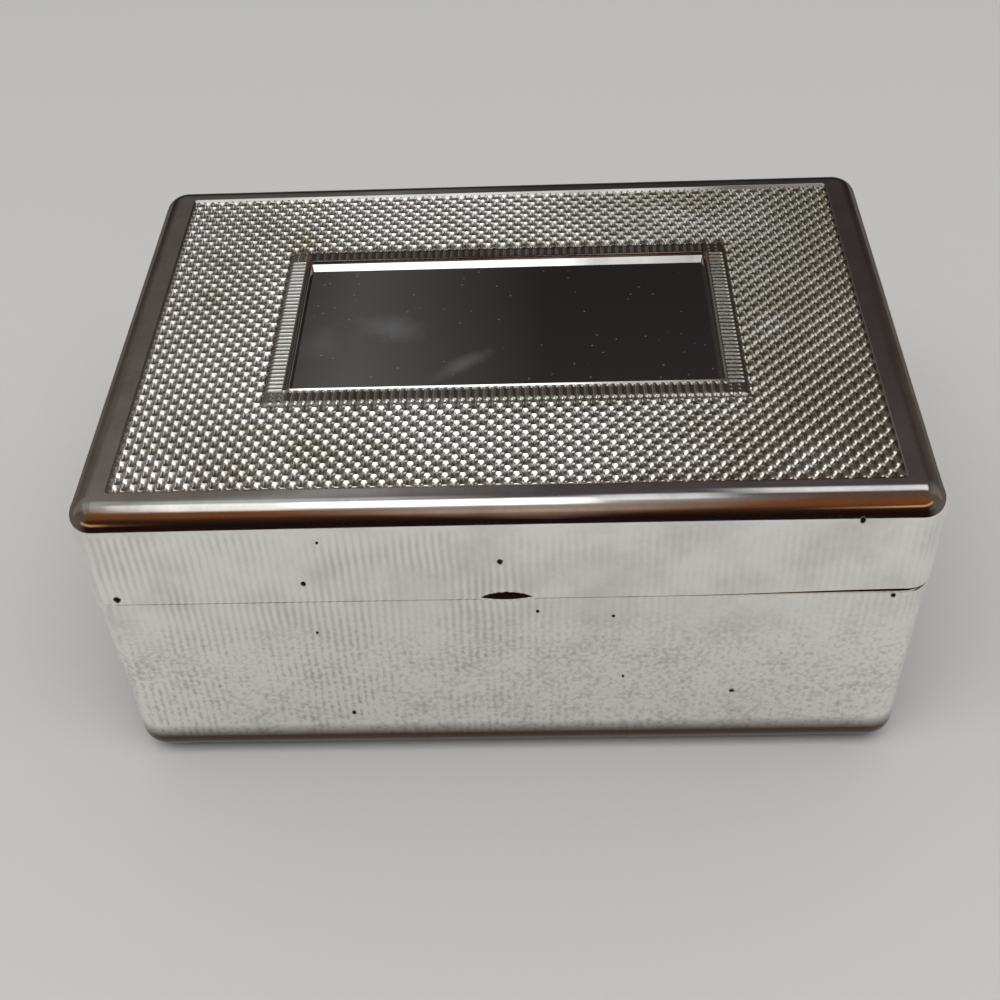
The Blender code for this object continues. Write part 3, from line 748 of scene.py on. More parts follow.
def add_cushion(name, node, upward, soft):
    """Stuff a thin cushion: two velvet sheets sewn together at the rim, the inner one blown up as cloth.

    Both sheets are one grid over a rounded rectangle, and their seam stands at a share of the height.  From
    it the outer sheet drops steeply to the card.  The inner sheet starts as a low pillow: it rises by the
    product of one less the eighth powers of both shares.  The cloth is simulated at a larger scale, its
    underside glued to the card, and then brought back to the size of the space that it fills.
    """
    low, high = (np.array(corner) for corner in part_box(node))
    share_x, share_y = np.meshgrid(
        np.linspace(-1, 1, soft.cushion_steps), np.linspace(-1, 1, soft.cushion_rows), indexing="ij")
    half = (high - low) / 2
    corner = soft.cushion_corner
    edge_x = np.clip((np.abs(share_x) * half[0] - half[0] + corner) / corner, 0, 1)
    edge_y = np.clip((np.abs(share_y) * half[1] - half[1] + corner) / corner, 0, 1)
    x = share_x * half[0] - np.sign(share_x) * corner * CORNER_PULL * edge_x * edge_y ** 2
    y = share_y * half[1] - np.sign(share_y) * corner * CORNER_PULL * edge_y * edge_x ** 2
    pillow = (1 - share_x ** PILLOW_POWER) * (1 - share_y ** PILLOW_POWER)
    seam = np.maximum(share_x ** SEAM_POWER, share_y ** SEAM_POWER) * soft.rim_share
    crown = soft.rim_share + (soft.start_share - soft.rim_share) * pillow
    upper = np.stack((x, y, 2 * half[2] * crown), -1) * soft.scale_up
    lower = np.stack((x, y, 2 * half[2] * seam), -1) * soft.scale_up
    skin = Skin()
    top = skin.add(upper)
    bottom = top.copy()
    bottom[1:-1, 1:-1] = skin.add(lower[1:-1, 1:-1])
    for sheet, order in ((top, 1), (bottom, -1)):
        quads = np.stack((sheet[:-1, :-1], sheet[1:, :-1], sheet[1:, 1:], sheet[:-1, 1:]), -1)
        skin.faces.extend(quads.reshape(-1, 4)[:, ::order].tolist())
    cushion = skin.build(name, CUSHION_FOLD)
    points = np.concatenate(skin.points)
    points = blow_up(cushion, bottom.ravel().tolist(), soft)
    points[:, :2] *= (half[:2] + soft.grow) / np.abs(points[:, :2]).max(0)
    points[:, 2] = np.clip(points[:, 2], 0, None) * 2 * half[2] / points[:, 2].max()
    glued_z = low[2] if upward > 0 else high[2]
    places = np.column_stack((points[:, :2] + (low + half)[:2], glued_z + upward * points[:, 2]))
    cushion.data.vertices.foreach_set("co", places.ravel())
    if upward < 0:
        cushion.data.flip_normals()
    cushion.data.update()
    return cushion


# Shares of the points along a side of the felt, and steps round its corners
FELT_RUN = np.linspace(-0.97, 0.97, 40)
FELT_CORNER_STEPS = 8
# Waves round the felt's edge, and where each starts
FELT_WAVES = ((11, 0), (29, 1))


def add_felt(soft):
    """Cut the felt under the base: a rounded sheet whose edge wanders a little, as scissors leave it."""
    low, high = (np.array(corner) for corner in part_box("underside_felt"))
    spots = plan_spots([FELT_RUN] * len(SIDES), FELT_CORNER_STEPS)
    half = (high - low)[:2] / 2
    edge = soft.felt_wander
    plan = ring(spots, half - edge, soft.felt_corner)
    around = np.arctan2(plan[:, 1] / half[1], plan[:, 0] / half[0])
    wander = edge * sum(np.sin(around * waves + start) for waves, start in FELT_WAVES) / len(FELT_WAVES)
    out = plan / np.linalg.norm(plan, axis=1)[:, None]
    rings = []
    for inset, height in ((edge, low[2]), (0, low[2] + edge), (0, high[2] - edge), (edge, high[2])):
        rings.append(raised(plan + out * (wander - inset)[:, None] + (low + high)[:2] / 2, height))
    return sweep("felt_sheet", rings, FELT_FOLD)


def fill(tree, node, inputs):
    """Set a node's inputs to values, colours or links, by name or in the order that the node shows them."""
    shown = [socket for socket in node.inputs if socket.enabled]
    named = {socket.name: socket for socket in reversed(shown)}
    for key, value in inputs.items() if isinstance(inputs, dict) else enumerate(inputs):
        socket = shown[key] if isinstance(key, int) else named[key]
        if isinstance(value, bpy.types.NodeSocket):
            tree.links.new(value, socket)
        elif socket.type == "RGBA":
            socket.default_value = (*value, 1)
        else:
            socket.default_value = value


def add_node(tree, kind, inputs=(), output=None, stops=(), **settings):
    """Add a shader node and return its output of that name, or else the first one that it shows.

    The inputs are given as in fill, so a map range takes its value, the two ends that it is read between and
    the two that it is turned to.  A ramp's stops are places with sRGB hex colours.
    """
    node = tree.nodes.new("ShaderNode" + kind)
    for name, value in settings.items():
        setattr(node, name, value)
    fill(tree, node, inputs)
    for number, (place, hex_text) in enumerate(stops):
        elements = node.color_ramp.elements
        element = elements[number] if number < len(elements) else elements.new(place)
        element.position = place
        element.color = (*linear(hex_text), 1)
    if output:
        return node.outputs[output]
    return next((socket for socket in node.outputs if socket.enabled), None)


def new_material(name, surface="BsdfPrincipled"):
    """Return a new material, its empty tree with an output, and the node of its surface shader."""
    material = bpy.data.materials.new(name)
    material.use_nodes = True
    tree = material.node_tree
    tree.nodes.clear()
    shader = add_node(tree, surface)
    add_node(tree, "OutputMaterial", {"Surface": shader})
    return material, tree, shader.node


def chain(tree, operation, *values):
    """Add nodes that join a row of values by one operation."""
    joined = values[0]
    for value in values[1:]:
        joined = add_node(tree, "Math", (joined, value), operation=operation)
    return joined


# Marks on the front, as x and height in millimetres, and the radius of each
FRONT_PITS = (
    (-0.7, 46.5, 0.42), (-30.0, 42.6, 0.36), (-26.9, 51.1, 0.2), (-29.4, 31.2, 0.26), (-25.9, 11.2, 0.34),
    (-58.5, 39.8, 0.5), (50.8, 53.6, 0.4), (57.4, 37.6, 0.36), (35.1, 15.5, 0.36), (16.0, 34.0, 0.24),
    (17.7, 19.6, 0.26), (4.6, 35.4, 0.26))
# The pits are taller than wide
PIT_SQUEEZE = 0.75
# Where a pit's rim starts and ends, as shares of its radius
PIT_RIM_SHARES = (0.7, 1.3)
# Grain of the ragged rims, and how far it moves them
PIT_GRAIN = 0.6 * MM
PIT_SHIFT = 0.4 * MM
# Pits are only in front of this share of the lid's half depth
FRONT_SHARE = 0.9


def add_pits(tree, place, depth):
    """Add nodes that give 1 in the pits on the front and 0 elsewhere, with ragged rims."""
    ragged = add_node(tree, "TexNoise", {"Vector": place, "Scale": 1 / PIT_GRAIN, "Detail": 1}, "Color")
    shifted = add_node(
        tree, "VectorMath", (ragged, (PIT_SHIFT, 0, PIT_SHIFT), place), operation="MULTIPLY_ADD")
    flat = add_node(tree, "Mapping", {"Vector": shifted, "Scale": (1, 0, PIT_SQUEEZE)})
    pits = []
    for x, height, radius in FRONT_PITS:
        centre = (x * MM + PIT_SHIFT / 2, 0, (height * MM + PIT_SHIFT / 2) * PIT_SQUEEZE)
        far = add_node(tree, "VectorMath", (flat, centre), operation="DISTANCE")
        start, end = (radius * MM * part for part in PIT_RIM_SHARES)
        pits.append(add_node(tree, "MapRange", (far, start, end, 1, 0)))
    front = add_node(tree, "Math", (depth, LID_LOW.y * FRONT_SHARE), operation="LESS_THAN")
    return chain(tree, "MULTIPLY", chain(tree, "MAXIMUM", *pits), front)


# Length of one band of Blender's wave texture at scale 1
WAVE_BAND = math.pi / 10
# Spacing of the buffing ripples and size of the patches where they show
RIPPLE_SPACING = 1.15 * MM
RIPPLE_PATCH = 13 * MM
# Sizes of the clouds of tarnish, of the painted reflection of a cloth's weave and of the sheet's slight waves
TARNISH_CLOUD = 7 * MM
WEAVE_REFLECTION_GRAIN = 0.8 * MM
SHEET_WAVE = 12 * MM
# Depths of the sheet's waves and of the ripples
WAVE_DEPTH = 0.2 * MM
RIPPLE_DEPTH = 0.03 * MM
# From where to where the ripples grow leftwards and down the lid, the painted reflection of a cloth's weave
# grows down the base, and the painted brown shade grows towards the base's bottom edge
RIPPLE_LEFTWARDS = (14 * MM, -8 * MM)
RIPPLE_DOWNWARDS = (53.5 * MM, 52 * MM)
WEAVE_REFLECTION_DOWNWARDS = (36 * MM, 26 * MM)
PAINTED_SHADE_DOWNWARDS = (8.4 * MM, 5.3 * MM)


def silver_material(finish):
    """Silver plate over pressed sheet, buffed and handled.

    To the eye it is a mirror with a faint haze: upright buffing ripples on the walls, cloudy tarnish, a fine
    mottling over the lower walls that is a painted reflection of a cloth's weave, a painted brown shade round
    the bottom edge where the base meets the floor, and a few dark pits.
    """
    material, tree, shader = new_material("buffed_silver_plate")
    place = add_node(tree, "TexCoord", output="Object")
    x, y, height = add_node(tree, "SeparateXYZ", (place,)).node.outputs
    # Upright buffing ripples on the walls, clearest in patches and on the left half
    along = add_node(tree, "Math", (x, y), operation="ADD")
    wall_place = add_node(tree, "CombineXYZ", {"X": along, "Z": height})
    ripple = add_node(
        tree, "TexWave",
        {"Vector": wall_place, "Scale": WAVE_BAND / RIPPLE_SPACING, "Distortion": 2.6, "Detail": 2,
         "Detail Scale": 0.35})
    patch = add_node(tree, "TexNoise", {"Vector": wall_place, "Scale": 1 / RIPPLE_PATCH, "Detail": 1})
    swing = add_node(tree, "Math", (ripple, 0.5), operation="SUBTRACT")
    clear = add_node(tree, "MapRange", (patch, 0.4, 0.58, 0.1, 0.5))
    left = add_node(tree, "MapRange", (x, *RIPPLE_LEFTWARDS, 0.3, 1))
    walls = add_node(tree, "MapRange", (height, *RIPPLE_DOWNWARDS))
    ripples = chain(tree, "MULTIPLY", swing, clear, left, walls)
    # Cloudy tarnish, and from the middle of the base down a fine mottle that is a painted reflection of a
    # cloth's weave
    cloud = add_node(
        tree, "TexNoise", {"Vector": place, "Scale": 1 / TARNISH_CLOUD, "Detail": 4, "Roughness": 0.55})
    weave_pattern = add_node(
        tree, "TexNoise", {"Vector": place, "Scale": 1 / WEAVE_REFLECTION_GRAIN, "Detail": 1, "Roughness": 0.6})
    weave_swing = add_node(tree, "Math", (weave_pattern, 0.5), operation="SUBTRACT")
    low = add_node(tree, "MapRange", (height, *WEAVE_REFLECTION_DOWNWARDS, 0.2, 1.7))
    painted_weave_reflection = chain(tree, "MULTIPLY", weave_swing, low)
    mixed = chain(tree, "ADD", ripples, painted_weave_reflection, cloud)
    tarnish_and_painted_light = add_node(tree, "MapRange", (mixed, 0.36, 1.5))
    tone = add_node(tree, "Mix", (tarnish_and_painted_light, finish.silver, finish.tarnish), data_type="RGBA")
    # A painted brown shade round the bottom edge, where the base meets the floor, and the pits
    painted_bottom_shade = add_node(tree, "MapRange", (height, *PAINTED_SHADE_DOWNWARDS, 0, 0.97))
    bottom_shaded = add_node(tree, "Mix", (painted_bottom_shade, tone, finish.painted_bottom_shade), data_type="RGBA")
    pits = add_pits(tree, place, y)
    pitted = add_node(tree, "Mix", (pits, bottom_shaded, finish.pit), data_type="RGBA")
    haze = add_node(tree, "MapRange", (cloud, 0.35, 0.7, 0.06, 0.12))
    rough = chain(tree, "MAXIMUM", haze, pits)
    # The sheet's slight waviness and the buffing lines
    wave = add_node(tree, "TexNoise", {"Vector": place, "Scale": 1 / SHEET_WAVE, "Detail": 1})
    waved = add_node(tree, "Bump", {"Strength": 0.25, "Distance": WAVE_DEPTH, "Height": wave})
    lined = add_node(
        tree, "Bump", {"Strength": 0.2, "Distance": RIPPLE_DEPTH, "Height": ripples, "Normal": waved})
    fill(tree, shader, {"Base Color": pitted, "Roughness": rough, "Metallic": 1, "Normal": lined})
    return material


# Sizes of the olive clouds and of the dents in the engine-turned sheet, and the dents' depth
OLIVE_CLOUD = 16 * MM
DENT_GRAIN = 0.7 * MM
DENT_DEPTH = 0.05 * MM
# From where to where a painted shade pushes the sheet towards the olive on its right half, and by how much
PAINTED_SHADE_RIGHTWARDS = (0, 40 * MM)
PAINTED_SHADE_DEPTH = 0.15


def scale_material(finish):
    """Silver plate over the engine-turned sheet.

    To the eye it is a soft mirror, because the buff never reached the bottoms of the scales, with an olive
    tarnish in wide patches and a painted shade that deepens the olive on the right half.
    """
    material, tree, shader = new_material("engine_turned_silver")
    place = add_node(tree, "TexCoord", output="Object")
    cloud = add_node(
        tree, "TexNoise", {"Vector": place, "Scale": 1 / OLIVE_CLOUD, "Detail": 4, "Roughness": 0.6})
    x = add_node(tree, "SeparateXYZ", (place,), "X")
    # Painted shade: the right half is pushed towards the olive
    right = add_node(tree, "MapRange", (x, *PAINTED_SHADE_RIGHTWARDS, 0, PAINTED_SHADE_DEPTH))
    tarnish_and_painted_light = add_node(tree, "MapRange", (chain(tree, "ADD", cloud, right), 0.43, 0.71))
    tone = add_node(tree, "Mix", (tarnish_and_painted_light, finish.silver, finish.olive), data_type="RGBA")
    grain = add_node(tree, "TexNoise", {"Vector": place, "Scale": 1 / DENT_GRAIN, "Detail": 2})
    rough = add_node(tree, "MapRange", (grain, 0, 1, 0.05, 0.16))
    dented = add_node(tree, "Bump", {"Strength": 0.2, "Distance": DENT_DEPTH, "Height": grain})
    fill(tree, shader, {"Base Color": tone, "Roughness": rough, "Metallic": 1, "Normal": dented})
    return material


# Smears of the plate: middle in x and y, half sizes in millimetres, lean in degrees and strength
PLATE_SMEARS = (
    (-18.5, -0.2, 7.5, 4.6, -20, 0.12), (-6.6, -10.0, 7.5, 2.4, 40, 0.13), (-30.0, -4.0, 4.5, 6.0, 0, 0.06))
# Where a smear starts and reaches its strength, as its ragged distance in half sizes
SMEAR_SHARES = (1.4, 0.5)
SMEAR_GRAIN = 4 * MM
# Spacing of the specks of dust, and where a speck starts and is full, as shares of the spacing
SPECK_SPACING = 2.2 * MM
SPECK_SHARES = (0.09, 0.05)


def plate_material(finish):
    """Bright silver plate of the bare plate.

    To the eye it is a clean mirror with bluish finger smears and specks of dust.
    """
    material, tree, shader = new_material("mirror_silver_plate")
    place = add_node(tree, "TexCoord", output="Object")
    ragged = add_node(tree, "TexNoise", {"Vector": place, "Scale": 1 / SMEAR_GRAIN, "Detail": 4})
    marks = []
    for x, y, across, along, lean, amount in PLATE_SMEARS:
        turned = add_node(
            tree, "Mapping",
            {"Vector": place, "Location": (x * MM, y * MM, 0), "Rotation": (0, 0, math.radians(lean)),
             "Scale": (across * MM, along * MM, 1)},
            vector_type="TEXTURE")
        flat = add_node(tree, "VectorMath", (turned, (1, 1, 0)), operation="MULTIPLY")
        far = add_node(tree, "VectorMath", (flat,), operation="LENGTH")
        marks.append(add_node(tree, "MapRange", (chain(tree, "ADD", far, ragged), *SMEAR_SHARES, 0, amount)))
    specks = add_node(tree, "TexVoronoi", {"Vector": place, "Scale": 1 / SPECK_SPACING})
    marks.append(add_node(tree, "MapRange", (specks, *SPECK_SHARES, 0, 0.25)))
    marked = chain(tree, "MAXIMUM", *marks)
    metal = add_node(tree, "Math", (1, marked), operation="SUBTRACT")
    tone = add_node(tree, "Mix", (marked, finish.plate, finish.smear), data_type="RGBA")
    rough = add_node(tree, "MapRange", (ragged, 0, 1, 0.03, 0.1))
    fill(tree, shader, {"Base Color": tone, "Roughness": rough, "Metallic": metal})
    return material


# Width, depth and stretch of the fine lines along the hinge
DRAWN_LINE = 0.3 * MM
DRAWN_DEPTH = 0.02 * MM
DRAWN_STRETCH = (0.05, 1, 1)


def drawn_metal(name, tint):
    """Satin nickel or drawn steel.  To the eye it is a soft grey metal with fine lines along the barrel."""
    material, tree, shader = new_material(name)
    place = add_node(tree, "TexCoord", output="Object")
    drawn = add_node(tree, "Mapping", {"Vector": place, "Scale": DRAWN_STRETCH})
    lines = add_node(tree, "TexNoise", {"Vector": drawn, "Scale": 1 / DRAWN_LINE, "Detail": 3})
    darker = tuple(part * 0.8 for part in tint)
    tone = add_node(tree, "Mix", (lines, tint, darker), data_type="RGBA")
    rough = add_node(tree, "MapRange", (lines, 0, 1, 0.2, 0.36))
    bump = add_node(tree, "Bump", {"Strength": 0.3, "Distance": DRAWN_DEPTH, "Height": lines})
    fill(tree, shader, {"Base Color": tone, "Roughness": rough, "Metallic": 1, "Normal": bump})
    return material


# Size of the patches where the pile leans, and width and depth of its tufts, coarser than real ones to show
NAP_PATCH = 14 * MM
PILE_TUFT = 0.35 * MM
PILE_DEPTH = 0.15 * MM


def velvet_material(finish):
    """Short pile velvet.

    To the eye it is deep wine red, darker where the pile leans away, with a soft bloom.
    """
    material, tree, shader = new_material("short_pile_velvet")
    place = add_node(tree, "TexCoord", output="Object")
    nap = add_node(
        tree, "TexNoise", {"Vector": place, "Scale": 1 / NAP_PATCH, "Detail": 3, "Roughness": 0.5})
    lean = add_node(tree, "MapRange", (nap, 0.4, 0.62))
    pile = add_node(tree, "TexNoise", {"Vector": place, "Scale": 1 / PILE_TUFT, "Detail": 2})
    shade = chain(tree, "MULTIPLY", lean, pile)
    tone = add_node(tree, "Mix", (shade, finish.velvet, finish.velvet_shade), data_type="RGBA")
    bump = add_node(tree, "Bump", {"Strength": 0.5, "Distance": PILE_DEPTH, "Height": pile})
    fill(tree, shader, {
        "Base Color": tone, "Roughness": 0.9, "Specular IOR Level": 0.2, "Sheen Weight": 0.5,
        "Sheen Roughness": 0.4, "Sheen Tint": finish.velvet_bloom, "Normal": bump})
    return material


# Width of the fibres of card and of felt, and their depth
CARD_FIBRE = 0.8 * MM
FELT_FIBRE = 0.5 * MM
FIBRE_DEPTH = 0.1 * MM


def fibre_material(name, tint, grain, roughness):
    """Card or felt.  To the eye it is a matt surface with short mottled fibres."""
    material, tree, shader = new_material(name)
    place = add_node(tree, "TexCoord", output="Object")
    fibre = add_node(tree, "TexNoise", {"Vector": place, "Scale": 1 / grain, "Detail": 5, "Roughness": 0.7})
    darker = tuple(part * 0.6 for part in tint)
    tone = add_node(tree, "Mix", (fibre, tint, darker), data_type="RGBA")
    bump = add_node(tree, "Bump", {"Strength": 0.4, "Distance": FIBRE_DEPTH, "Height": fibre})
    fill(tree, shader, {"Base Color": tone, "Roughness": roughness, "Normal": bump})
    return material


def paint(material, *names):
    """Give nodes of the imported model, which keep their own meshes, a material."""
    for name in names:
        mesh = frame["nodes"][name].data
        mesh.materials.clear()
        mesh.materials.append(material)


class TRINKET_OT_lid(bpy.types.Operator):
    """Make the pressed lid"""
    bl_idname = "trinket.lid"
    bl_label = "Lid"

    def execute(self, context):
        finish = context.scene.trinket_finish
        lid = dress(add_lid(context), silver_material(finish), "lid", "silver_plate", "lid_shell")
        lid.data.materials.append(plate_material(finish))
        lid.data.polygons[-1].material_index = 1
        dress(add_field(context), scale_material(finish), "lid", "silver_plate")
        return {"FINISHED"}


class TRINKET_OT_base(bpy.types.Operator):
    """Make the pressed base"""
    bl_idname = "trinket.base"
    bl_label = "Base"

    def execute(self, context):
        material = bpy.data.materials["buffed_silver_plate"]
        dress(add_base(context), material, "base", "silver_plate", "base_shell")
        return {"FINISHED"}


class TRINKET_OT_hinge(bpy.types.Operator):
    """Give the hinge its metals"""
    bl_idname = "trinket.hinge"
    bl_label = "Hinge"

    def execute(self, context):
        finish = context.scene.trinket_finish
        paint(drawn_metal("satin_nickel", finish.nickel), "base_hinge_leaf", "lid_hinge_leaf")
        paint(drawn_metal("drawn_steel", finish.steel), "hinge_pin")
        return {"FINISHED"}


class TRINKET_OT_inside(bpy.types.Operator):
    """Make the velvet-covered panels and pads, the cards and the felt"""
    bl_idname = "trinket.inside"
    bl_label = "Inside"

    def execute(self, context):
        finish = context.scene.trinket_finish
        soft = context.scene.trinket_soft
        velvet = velvet_material(finish)
        for body in ("base", "lid"):
            for side, name in enumerate(("front", "right", "rear", "left")):
                panel = add_panel(f"{body}_panel_{name}", f"{body}_lining_{name}", side, soft)
                dress(panel, velvet, body, "velvet", f"{body}_lining_{name}")
        for body, node, name, upward in (
                ("base", "floor_pad", "floor_cushion", 1), ("lid", "lid_pad", "lid_cushion", -1)):
            cushion = dress(add_cushion(name, node, upward, soft), velvet, body, "velvet", node)
        paint(fibre_material("pressed_card", finish.card, CARD_FIBRE, 0.85), "floor_card", "lid_card")
        matted = fibre_material("pressed_felt", finish.felt, FELT_FIBRE, 1)
        felt = dress(add_felt(soft), matted, "base", "felt", "underside_felt")
        return {"FINISHED"}


def add_plane(name, half):
    """Return a flat square round the origin."""
    skin = Skin()
    corners = [(-half, -half, 0), (half, -half, 0), (half, half, 0), (-half, half, 0)]
    skin.cap(skin.add(corners))
    return skin.build(name, METAL_FOLD)


def add_dome(name, radius, top, rings, points):
    """Return a band of a sphere round the origin, from the floor to an angle above it, facing in.

    A point is the radius times the cosine of its height angle along its bearing, and times the sine upwards.
    """
    rise = np.linspace(0, top, rings)[:, None]
    bearing = np.linspace(0, 2 * math.pi, points, endpoint=False)[None]
    flat = radius * np.cos(rise)
    height = np.broadcast_to(radius * np.sin(rise), (rings, points))
    skin = Skin()
    wall = skin.add(np.stack((flat * np.cos(bearing), flat * np.sin(bearing), height), -1))
    skin.weave(wall[:, ::-1])
    return skin.build(name, METAL_FOLD)


def floor_material(stage):
    """Seamless studio floor, a matt pale sheet."""
    material, tree, shader = new_material("studio_floor")
    fill(tree, shader, {"Base Color": stage.floor, "Roughness": 1, "Specular IOR Level": 0})
    return material


def add_gate(tree, value, low, high, blur):
    """Add nodes that give 1 between two values and 0 outside, with soft edges."""
    rise = add_node(tree, "MapRange", (value, low - blur, low + blur), interpolation_type="SMOOTHSTEP")
    fall = add_node(tree, "MapRange", (value, high + blur, high - blur), interpolation_type="SMOOTHSTEP")
    return chain(tree, "MULTIPLY", rise, fall)


# The tent's windows: lowest and highest direction in degrees up from the front, their blur, the slants
# between which they are seen, the blur of these, and their brightness as a share
WINDOWS = (
    (66, 93, 6, -0.2, 0.03, 0.03, 1.0),
    (76, 101, 6, 0.03, 0.12, 0.03, 0.38),
    (96, 120, 6, 0.155, 0.6, 0.04, 0.4),
    (62, 95, 6, -0.33, -0.19, 0.04, 0.48),
    (62, 114, 8, -0.4, -0.33, 0.05, 0.13),
    (62, 114, 8, -0.95, -0.4, 0.05, 0.045),
    (94, 110, 5, -0.33, -0.08, 0.05, 0.14))
# Degrees from the front over the top to the rear
HALF_TURN = 180

# Two low golden gleams in front: where they start and end upwards and their blur, the same sideways, all as
# shares of the tent's radius, and their side, 1 for right and -1 for left
GLEAMS = ((0.38, 0.5, 0.03, 0.22, 0.75, 0.03, 1), (0.08, 0.24, 0.04, 0.33, 0.8, 0.04, -1))
# The same forwards, for both
GLEAM_FORWARD = (0.3, 1.5, 0.1)

# Tones of the tent's cloth.  In front they go by the share of a half turn upwards, in the middle and to the
# sides.  The roof's go from left to right, and those of the left and right ends by the height
MIDDLE_TONES = (
    (0.0, "#3A2626"), (0.09, "#5C423C"), (0.16, "#7A6254"), (0.22, "#AA9182"), (0.3, "#8C837C"),
    (0.37, "#9A9899"))
FLANK_TONES = (
    (0.0, "#140C0A"), (0.09, "#2A1710"), (0.16, "#40241A"), (0.22, "#6A4026"), (0.3, "#6E4426"),
    (0.37, "#604434"))
ROOF_TONES = (
    (0.0, "#544F4B"), (0.17, "#504D4A"), (0.27, "#6B6A69"), (0.39, "#504D4C"), (0.5, "#373434"),
    (1.0, "#3A3332"))
END_TONES = (
    (0.0, "#5A524D"), (0.12, "#5A524D"), (0.24, "#585049"), (0.34, "#544D47"), (0.5, "#504B47"),
    (0.8, "#565350"))
# How much brighter the roof is than its tones
ROOF_GAIN = 1.75


def tent_material(stage):
    """The dark tent round the stage, which only the metal sees.

    Over the front it is black at the foot, then a pale brown in the middle and a redder brown to the sides.
    Overhead it is grey, darkest right of the middle.  Bright windows lie across it, and two small golden
    gleams low in front.
    """
    material, tree, shader = new_material("dark_tent", "AddShader")
    place = add_node(tree, "TexCoord", output="Object")
    direction = add_node(tree, "VectorMath", (place,), operation="NORMALIZE")
    x, y, z = add_node(tree, "SeparateXYZ", (direction,)).node.outputs
    forward = add_node(tree, "Math", (y, -1), operation="MULTIPLY")
    over = add_node(tree, "Math", (z, forward), operation="ARCTAN2")
    turn = add_node(tree, "Math", (over, math.pi), operation="DIVIDE")
    slant = add_node(tree, "Math", (x, z), operation="DIVIDE")
    # The front, paler in the middle
    middle = add_node(tree, "ValToRGB", (turn,), stops=MIDDLE_TONES)
    flank = add_node(tree, "ValToRGB", (turn,), stops=FLANK_TONES)
    away = add_node(tree, "Math", (chain(tree, "ADD", slant, 0.03),), operation="ABSOLUTE")
    outward = add_node(tree, "MapRange", (away, 0.06, 0.24))
    front = add_node(tree, "Mix", (outward, middle, flank), data_type="RGBA")
    # The roof, brighter before it drops behind the box, and the dark rear
    across = add_node(tree, "MapRange", (slant, -0.5, 0.5))
    roof = add_node(tree, "ValToRGB", (across,), stops=ROOF_TONES)
    upward = add_node(tree, "MapRange", (turn, 0.4, 0.5))
    vault = add_node(tree, "Mix", (upward, front, roof), data_type="RGBA")
    nearer = add_node(tree, "MapRange", (turn, 0.8, 0.75, 1, ROOF_GAIN))
    overhead = add_node(tree, "MapRange", (turn, 0.42, 0.5, 1, ROOF_GAIN))
    lit = chain(tree, "MINIMUM", nearer, overhead)
    rearward = add_node(tree, "MapRange", (turn, 0.84, 0.93))
    arch = add_node(tree, "Mix", (rearward, vault, stage.rear_cloth), data_type="RGBA")
    # The left and right ends
    sideways = add_node(tree, "Math", (x,), operation="ABSOLUTE")
    beside = add_node(tree, "MapRange", (sideways, 0.5, 0.8))
    ends = add_node(tree, "ValToRGB", (z,), stops=END_TONES)
    cloth = add_node(tree, "Mix", (beside, arch, ends), data_type="RGBA")
    gleams = []
    for low, high, blur, inner, outer, side_blur, hand in GLEAMS:
        handed = chain(tree, "MULTIPLY", x, hand)
        gates = ((z, low, high, blur), (handed, inner, outer, side_blur), (forward, *GLEAM_FORWARD))
        gleams.append(chain(tree, "MULTIPLY", *(add_gate(tree, *gate) for gate in gates)))
    gilt = add_node(tree, "Mix", (chain(tree, "MAXIMUM", *gleams), cloth, stage.gleam), data_type="RGBA")
    walls = add_node(tree, "Emission", {"Color": gilt, "Strength": lit})
    panes = []
    for low, high, blur, left, right, side_blur, amount in WINDOWS:
        upright = add_gate(tree, turn, low / HALF_TURN, high / HALF_TURN, blur / HALF_TURN)
        level = add_gate(tree, slant, left, right, side_blur)
        panes.append(chain(tree, "MULTIPLY", upright, level, amount * stage.window_radiance))
    glow = add_node(tree, "Emission", {"Color": stage.window, "Strength": chain(tree, "MAXIMUM", *panes)})
    fill(tree, shader, (walls, glow))
    return material


# From where to where the fence turns dark towards the front
FENCE_FORWARDS = (-80 * MM, -130 * MM)


def fence_material(stage):
    """The low cloth round the stage, which only the metal sees: dark maroon in front and grey elsewhere."""
    material, tree, shader = new_material("maroon_cloth", "Emission")
    place = add_node(tree, "TexCoord", output="Object")
    y = add_node(tree, "SeparateXYZ", (place,), "Y")
    front = add_node(tree, "MapRange", (y, *FENCE_FORWARDS))
    tone = add_node(tree, "Mix", (front, stage.grey_cloth, stage.maroon_cloth), data_type="RGBA")
    fill(tree, shader, {"Color": tone})
    return material


def only_reflected(obj):
    """Let only mirror reflections see an object."""
    obj.visible_camera = False
    obj.visible_diffuse = False
    obj.visible_transmission = False
    obj.visible_volume_scatter = False
    obj.visible_shadow = False


def add_camera(stage):
    """Stand the camera where the photograph was taken from."""
    turn_x = math.sin(stage.yaw)
    turn_y = math.cos(stage.yaw)
    down = math.sin(stage.pitch)
    level = math.cos(stage.pitch)
    ahead = Vector((turn_x * level, turn_y * level, -down))
    above = Vector((turn_x * down, turn_y * down, level))
    right = Vector((turn_y, -turn_x, 0))
    seam = Vector((0, 0, HINGE_AXIS.z))
    place = seam - stage.distance * ahead - stage.up * above - stage.across * right
    lean_right = math.cos(stage.roll) * right - math.sin(stage.roll) * above
    lean_up = math.cos(stage.roll) * above + math.sin(stage.roll) * right
    turned = Matrix((lean_right, lean_up, -ahead)).transposed().to_4x4()
    data = bpy.data.cameras.new("camera")
    data.lens = stage.lens
    data.clip_start = stage.nearest
    data.clip_end = stage.farthest
    camera = bpy.data.objects.new("camera", data)
    camera.matrix_world = Matrix.Translation(place) @ turned
    bpy.context.scene.collection.objects.link(camera)
    bpy.context.scene.camera = camera


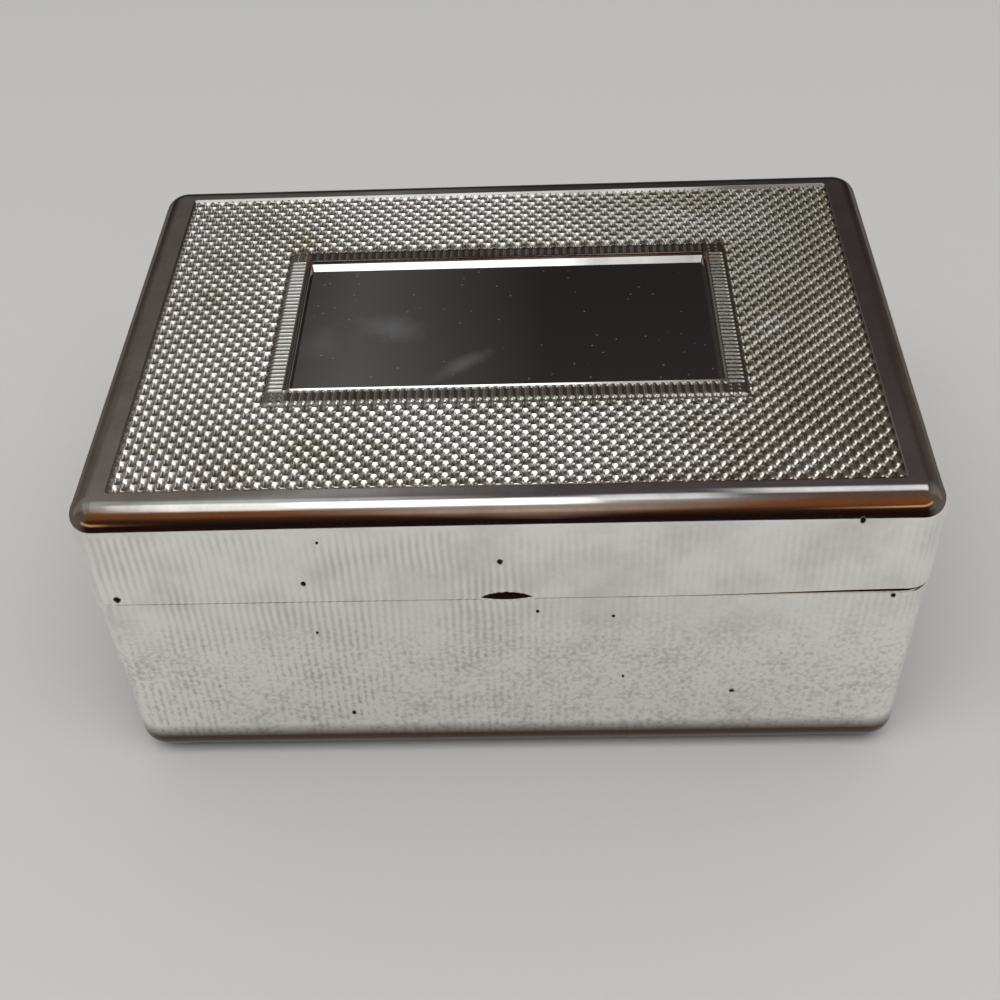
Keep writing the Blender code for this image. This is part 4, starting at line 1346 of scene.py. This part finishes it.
def add_softbox(stage):
    """Hang one wide soft lamp over the box."""
    data = bpy.data.lights.new("softbox", "AREA")
    data.shape = "RECTANGLE"
    data.size = stage.lamp_length
    data.size_y = stage.lamp_width
    data.energy = stage.lamp_radiance * math.pi * data.size * data.size_y
    lamp = bpy.data.objects.new("softbox", data)
    lamp.location = stage.lamp_place
    lamp.visible_glossy = False
    bpy.context.scene.collection.objects.link(lamp)


class TRINKET_OT_stage(bpy.types.Operator):
    """Make the floor, the tent, the lights and the camera"""
    bl_idname = "trinket.stage"
    bl_label = "Stage"

    def execute(self, context):
        stage = context.scene.trinket_stage
        floor = add_plane("floor", stage.floor_half)
        floor.data.materials.append(floor_material(stage))
        tent = add_dome("tent", stage.tent_radius, stage.tent_top, stage.tent_rings, stage.tent_points)
        tent.data.materials.append(tent_material(stage))
        fence = add_dome("fence", stage.fence_radius, stage.fence_top, stage.fence_rings, stage.tent_points)
        fence.data.materials.append(fence_material(stage))
        for obj in (tent, fence):
            only_reflected(obj)
        add_softbox(stage)
        add_camera(stage)
        world = bpy.data.worlds.new("studio_air")
        world.use_nodes = True
        world.node_tree.nodes["Background"].inputs["Color"].default_value = (*stage.air, 1)
        context.scene.world = world
        context.scene.view_settings.view_transform = "Standard"
        return {"FINISHED"}


OPERATORS = (TRINKET_OT_stage, TRINKET_OT_lid, TRINKET_OT_base, TRINKET_OT_hinge, TRINKET_OT_inside)


class TRINKET_PT_panel(bpy.types.Panel):
    """Lists the pieces of the trinket box"""
    bl_idname = "TRINKET_PT_panel"
    bl_label = "Trinket box"
    bl_space_type = "VIEW_3D"
    bl_region_type = "UI"
    bl_category = "Trinket box"

    def draw(self, context):
        for operator in OPERATORS:
            self.layout.operator(operator.bl_idname)
        for group in GROUPS:
            column = self.layout.column()
            for name in getattr(context.scene, group).bl_rna.properties.keys():
                if name not in ("rna_type", "name"):
                    column.prop(getattr(context.scene, group), name)


CLASSES = (*GROUPS.values(), *OPERATORS, TRINKET_PT_panel)


def register():
    """Register the classes and hang the sizes on the scene."""
    for item in CLASSES:
        bpy.utils.register_class(item)
    for name, group in GROUPS.items():
        setattr(bpy.types.Scene, name, bpy.props.PointerProperty(type=group))


def unregister():
    """Take the classes off again."""
    for name in GROUPS:
        delattr(bpy.types.Scene, name)
    for item in reversed(CLASSES):
        bpy.utils.unregister_class(item)


def main():
    """Make every piece in order."""
    register()
    bpy.ops.trinket.stage()
    bpy.ops.trinket.lid()
    bpy.ops.trinket.base()
    bpy.ops.trinket.hinge()
    bpy.ops.trinket.inside()


if __name__ == "__main__":
    main()
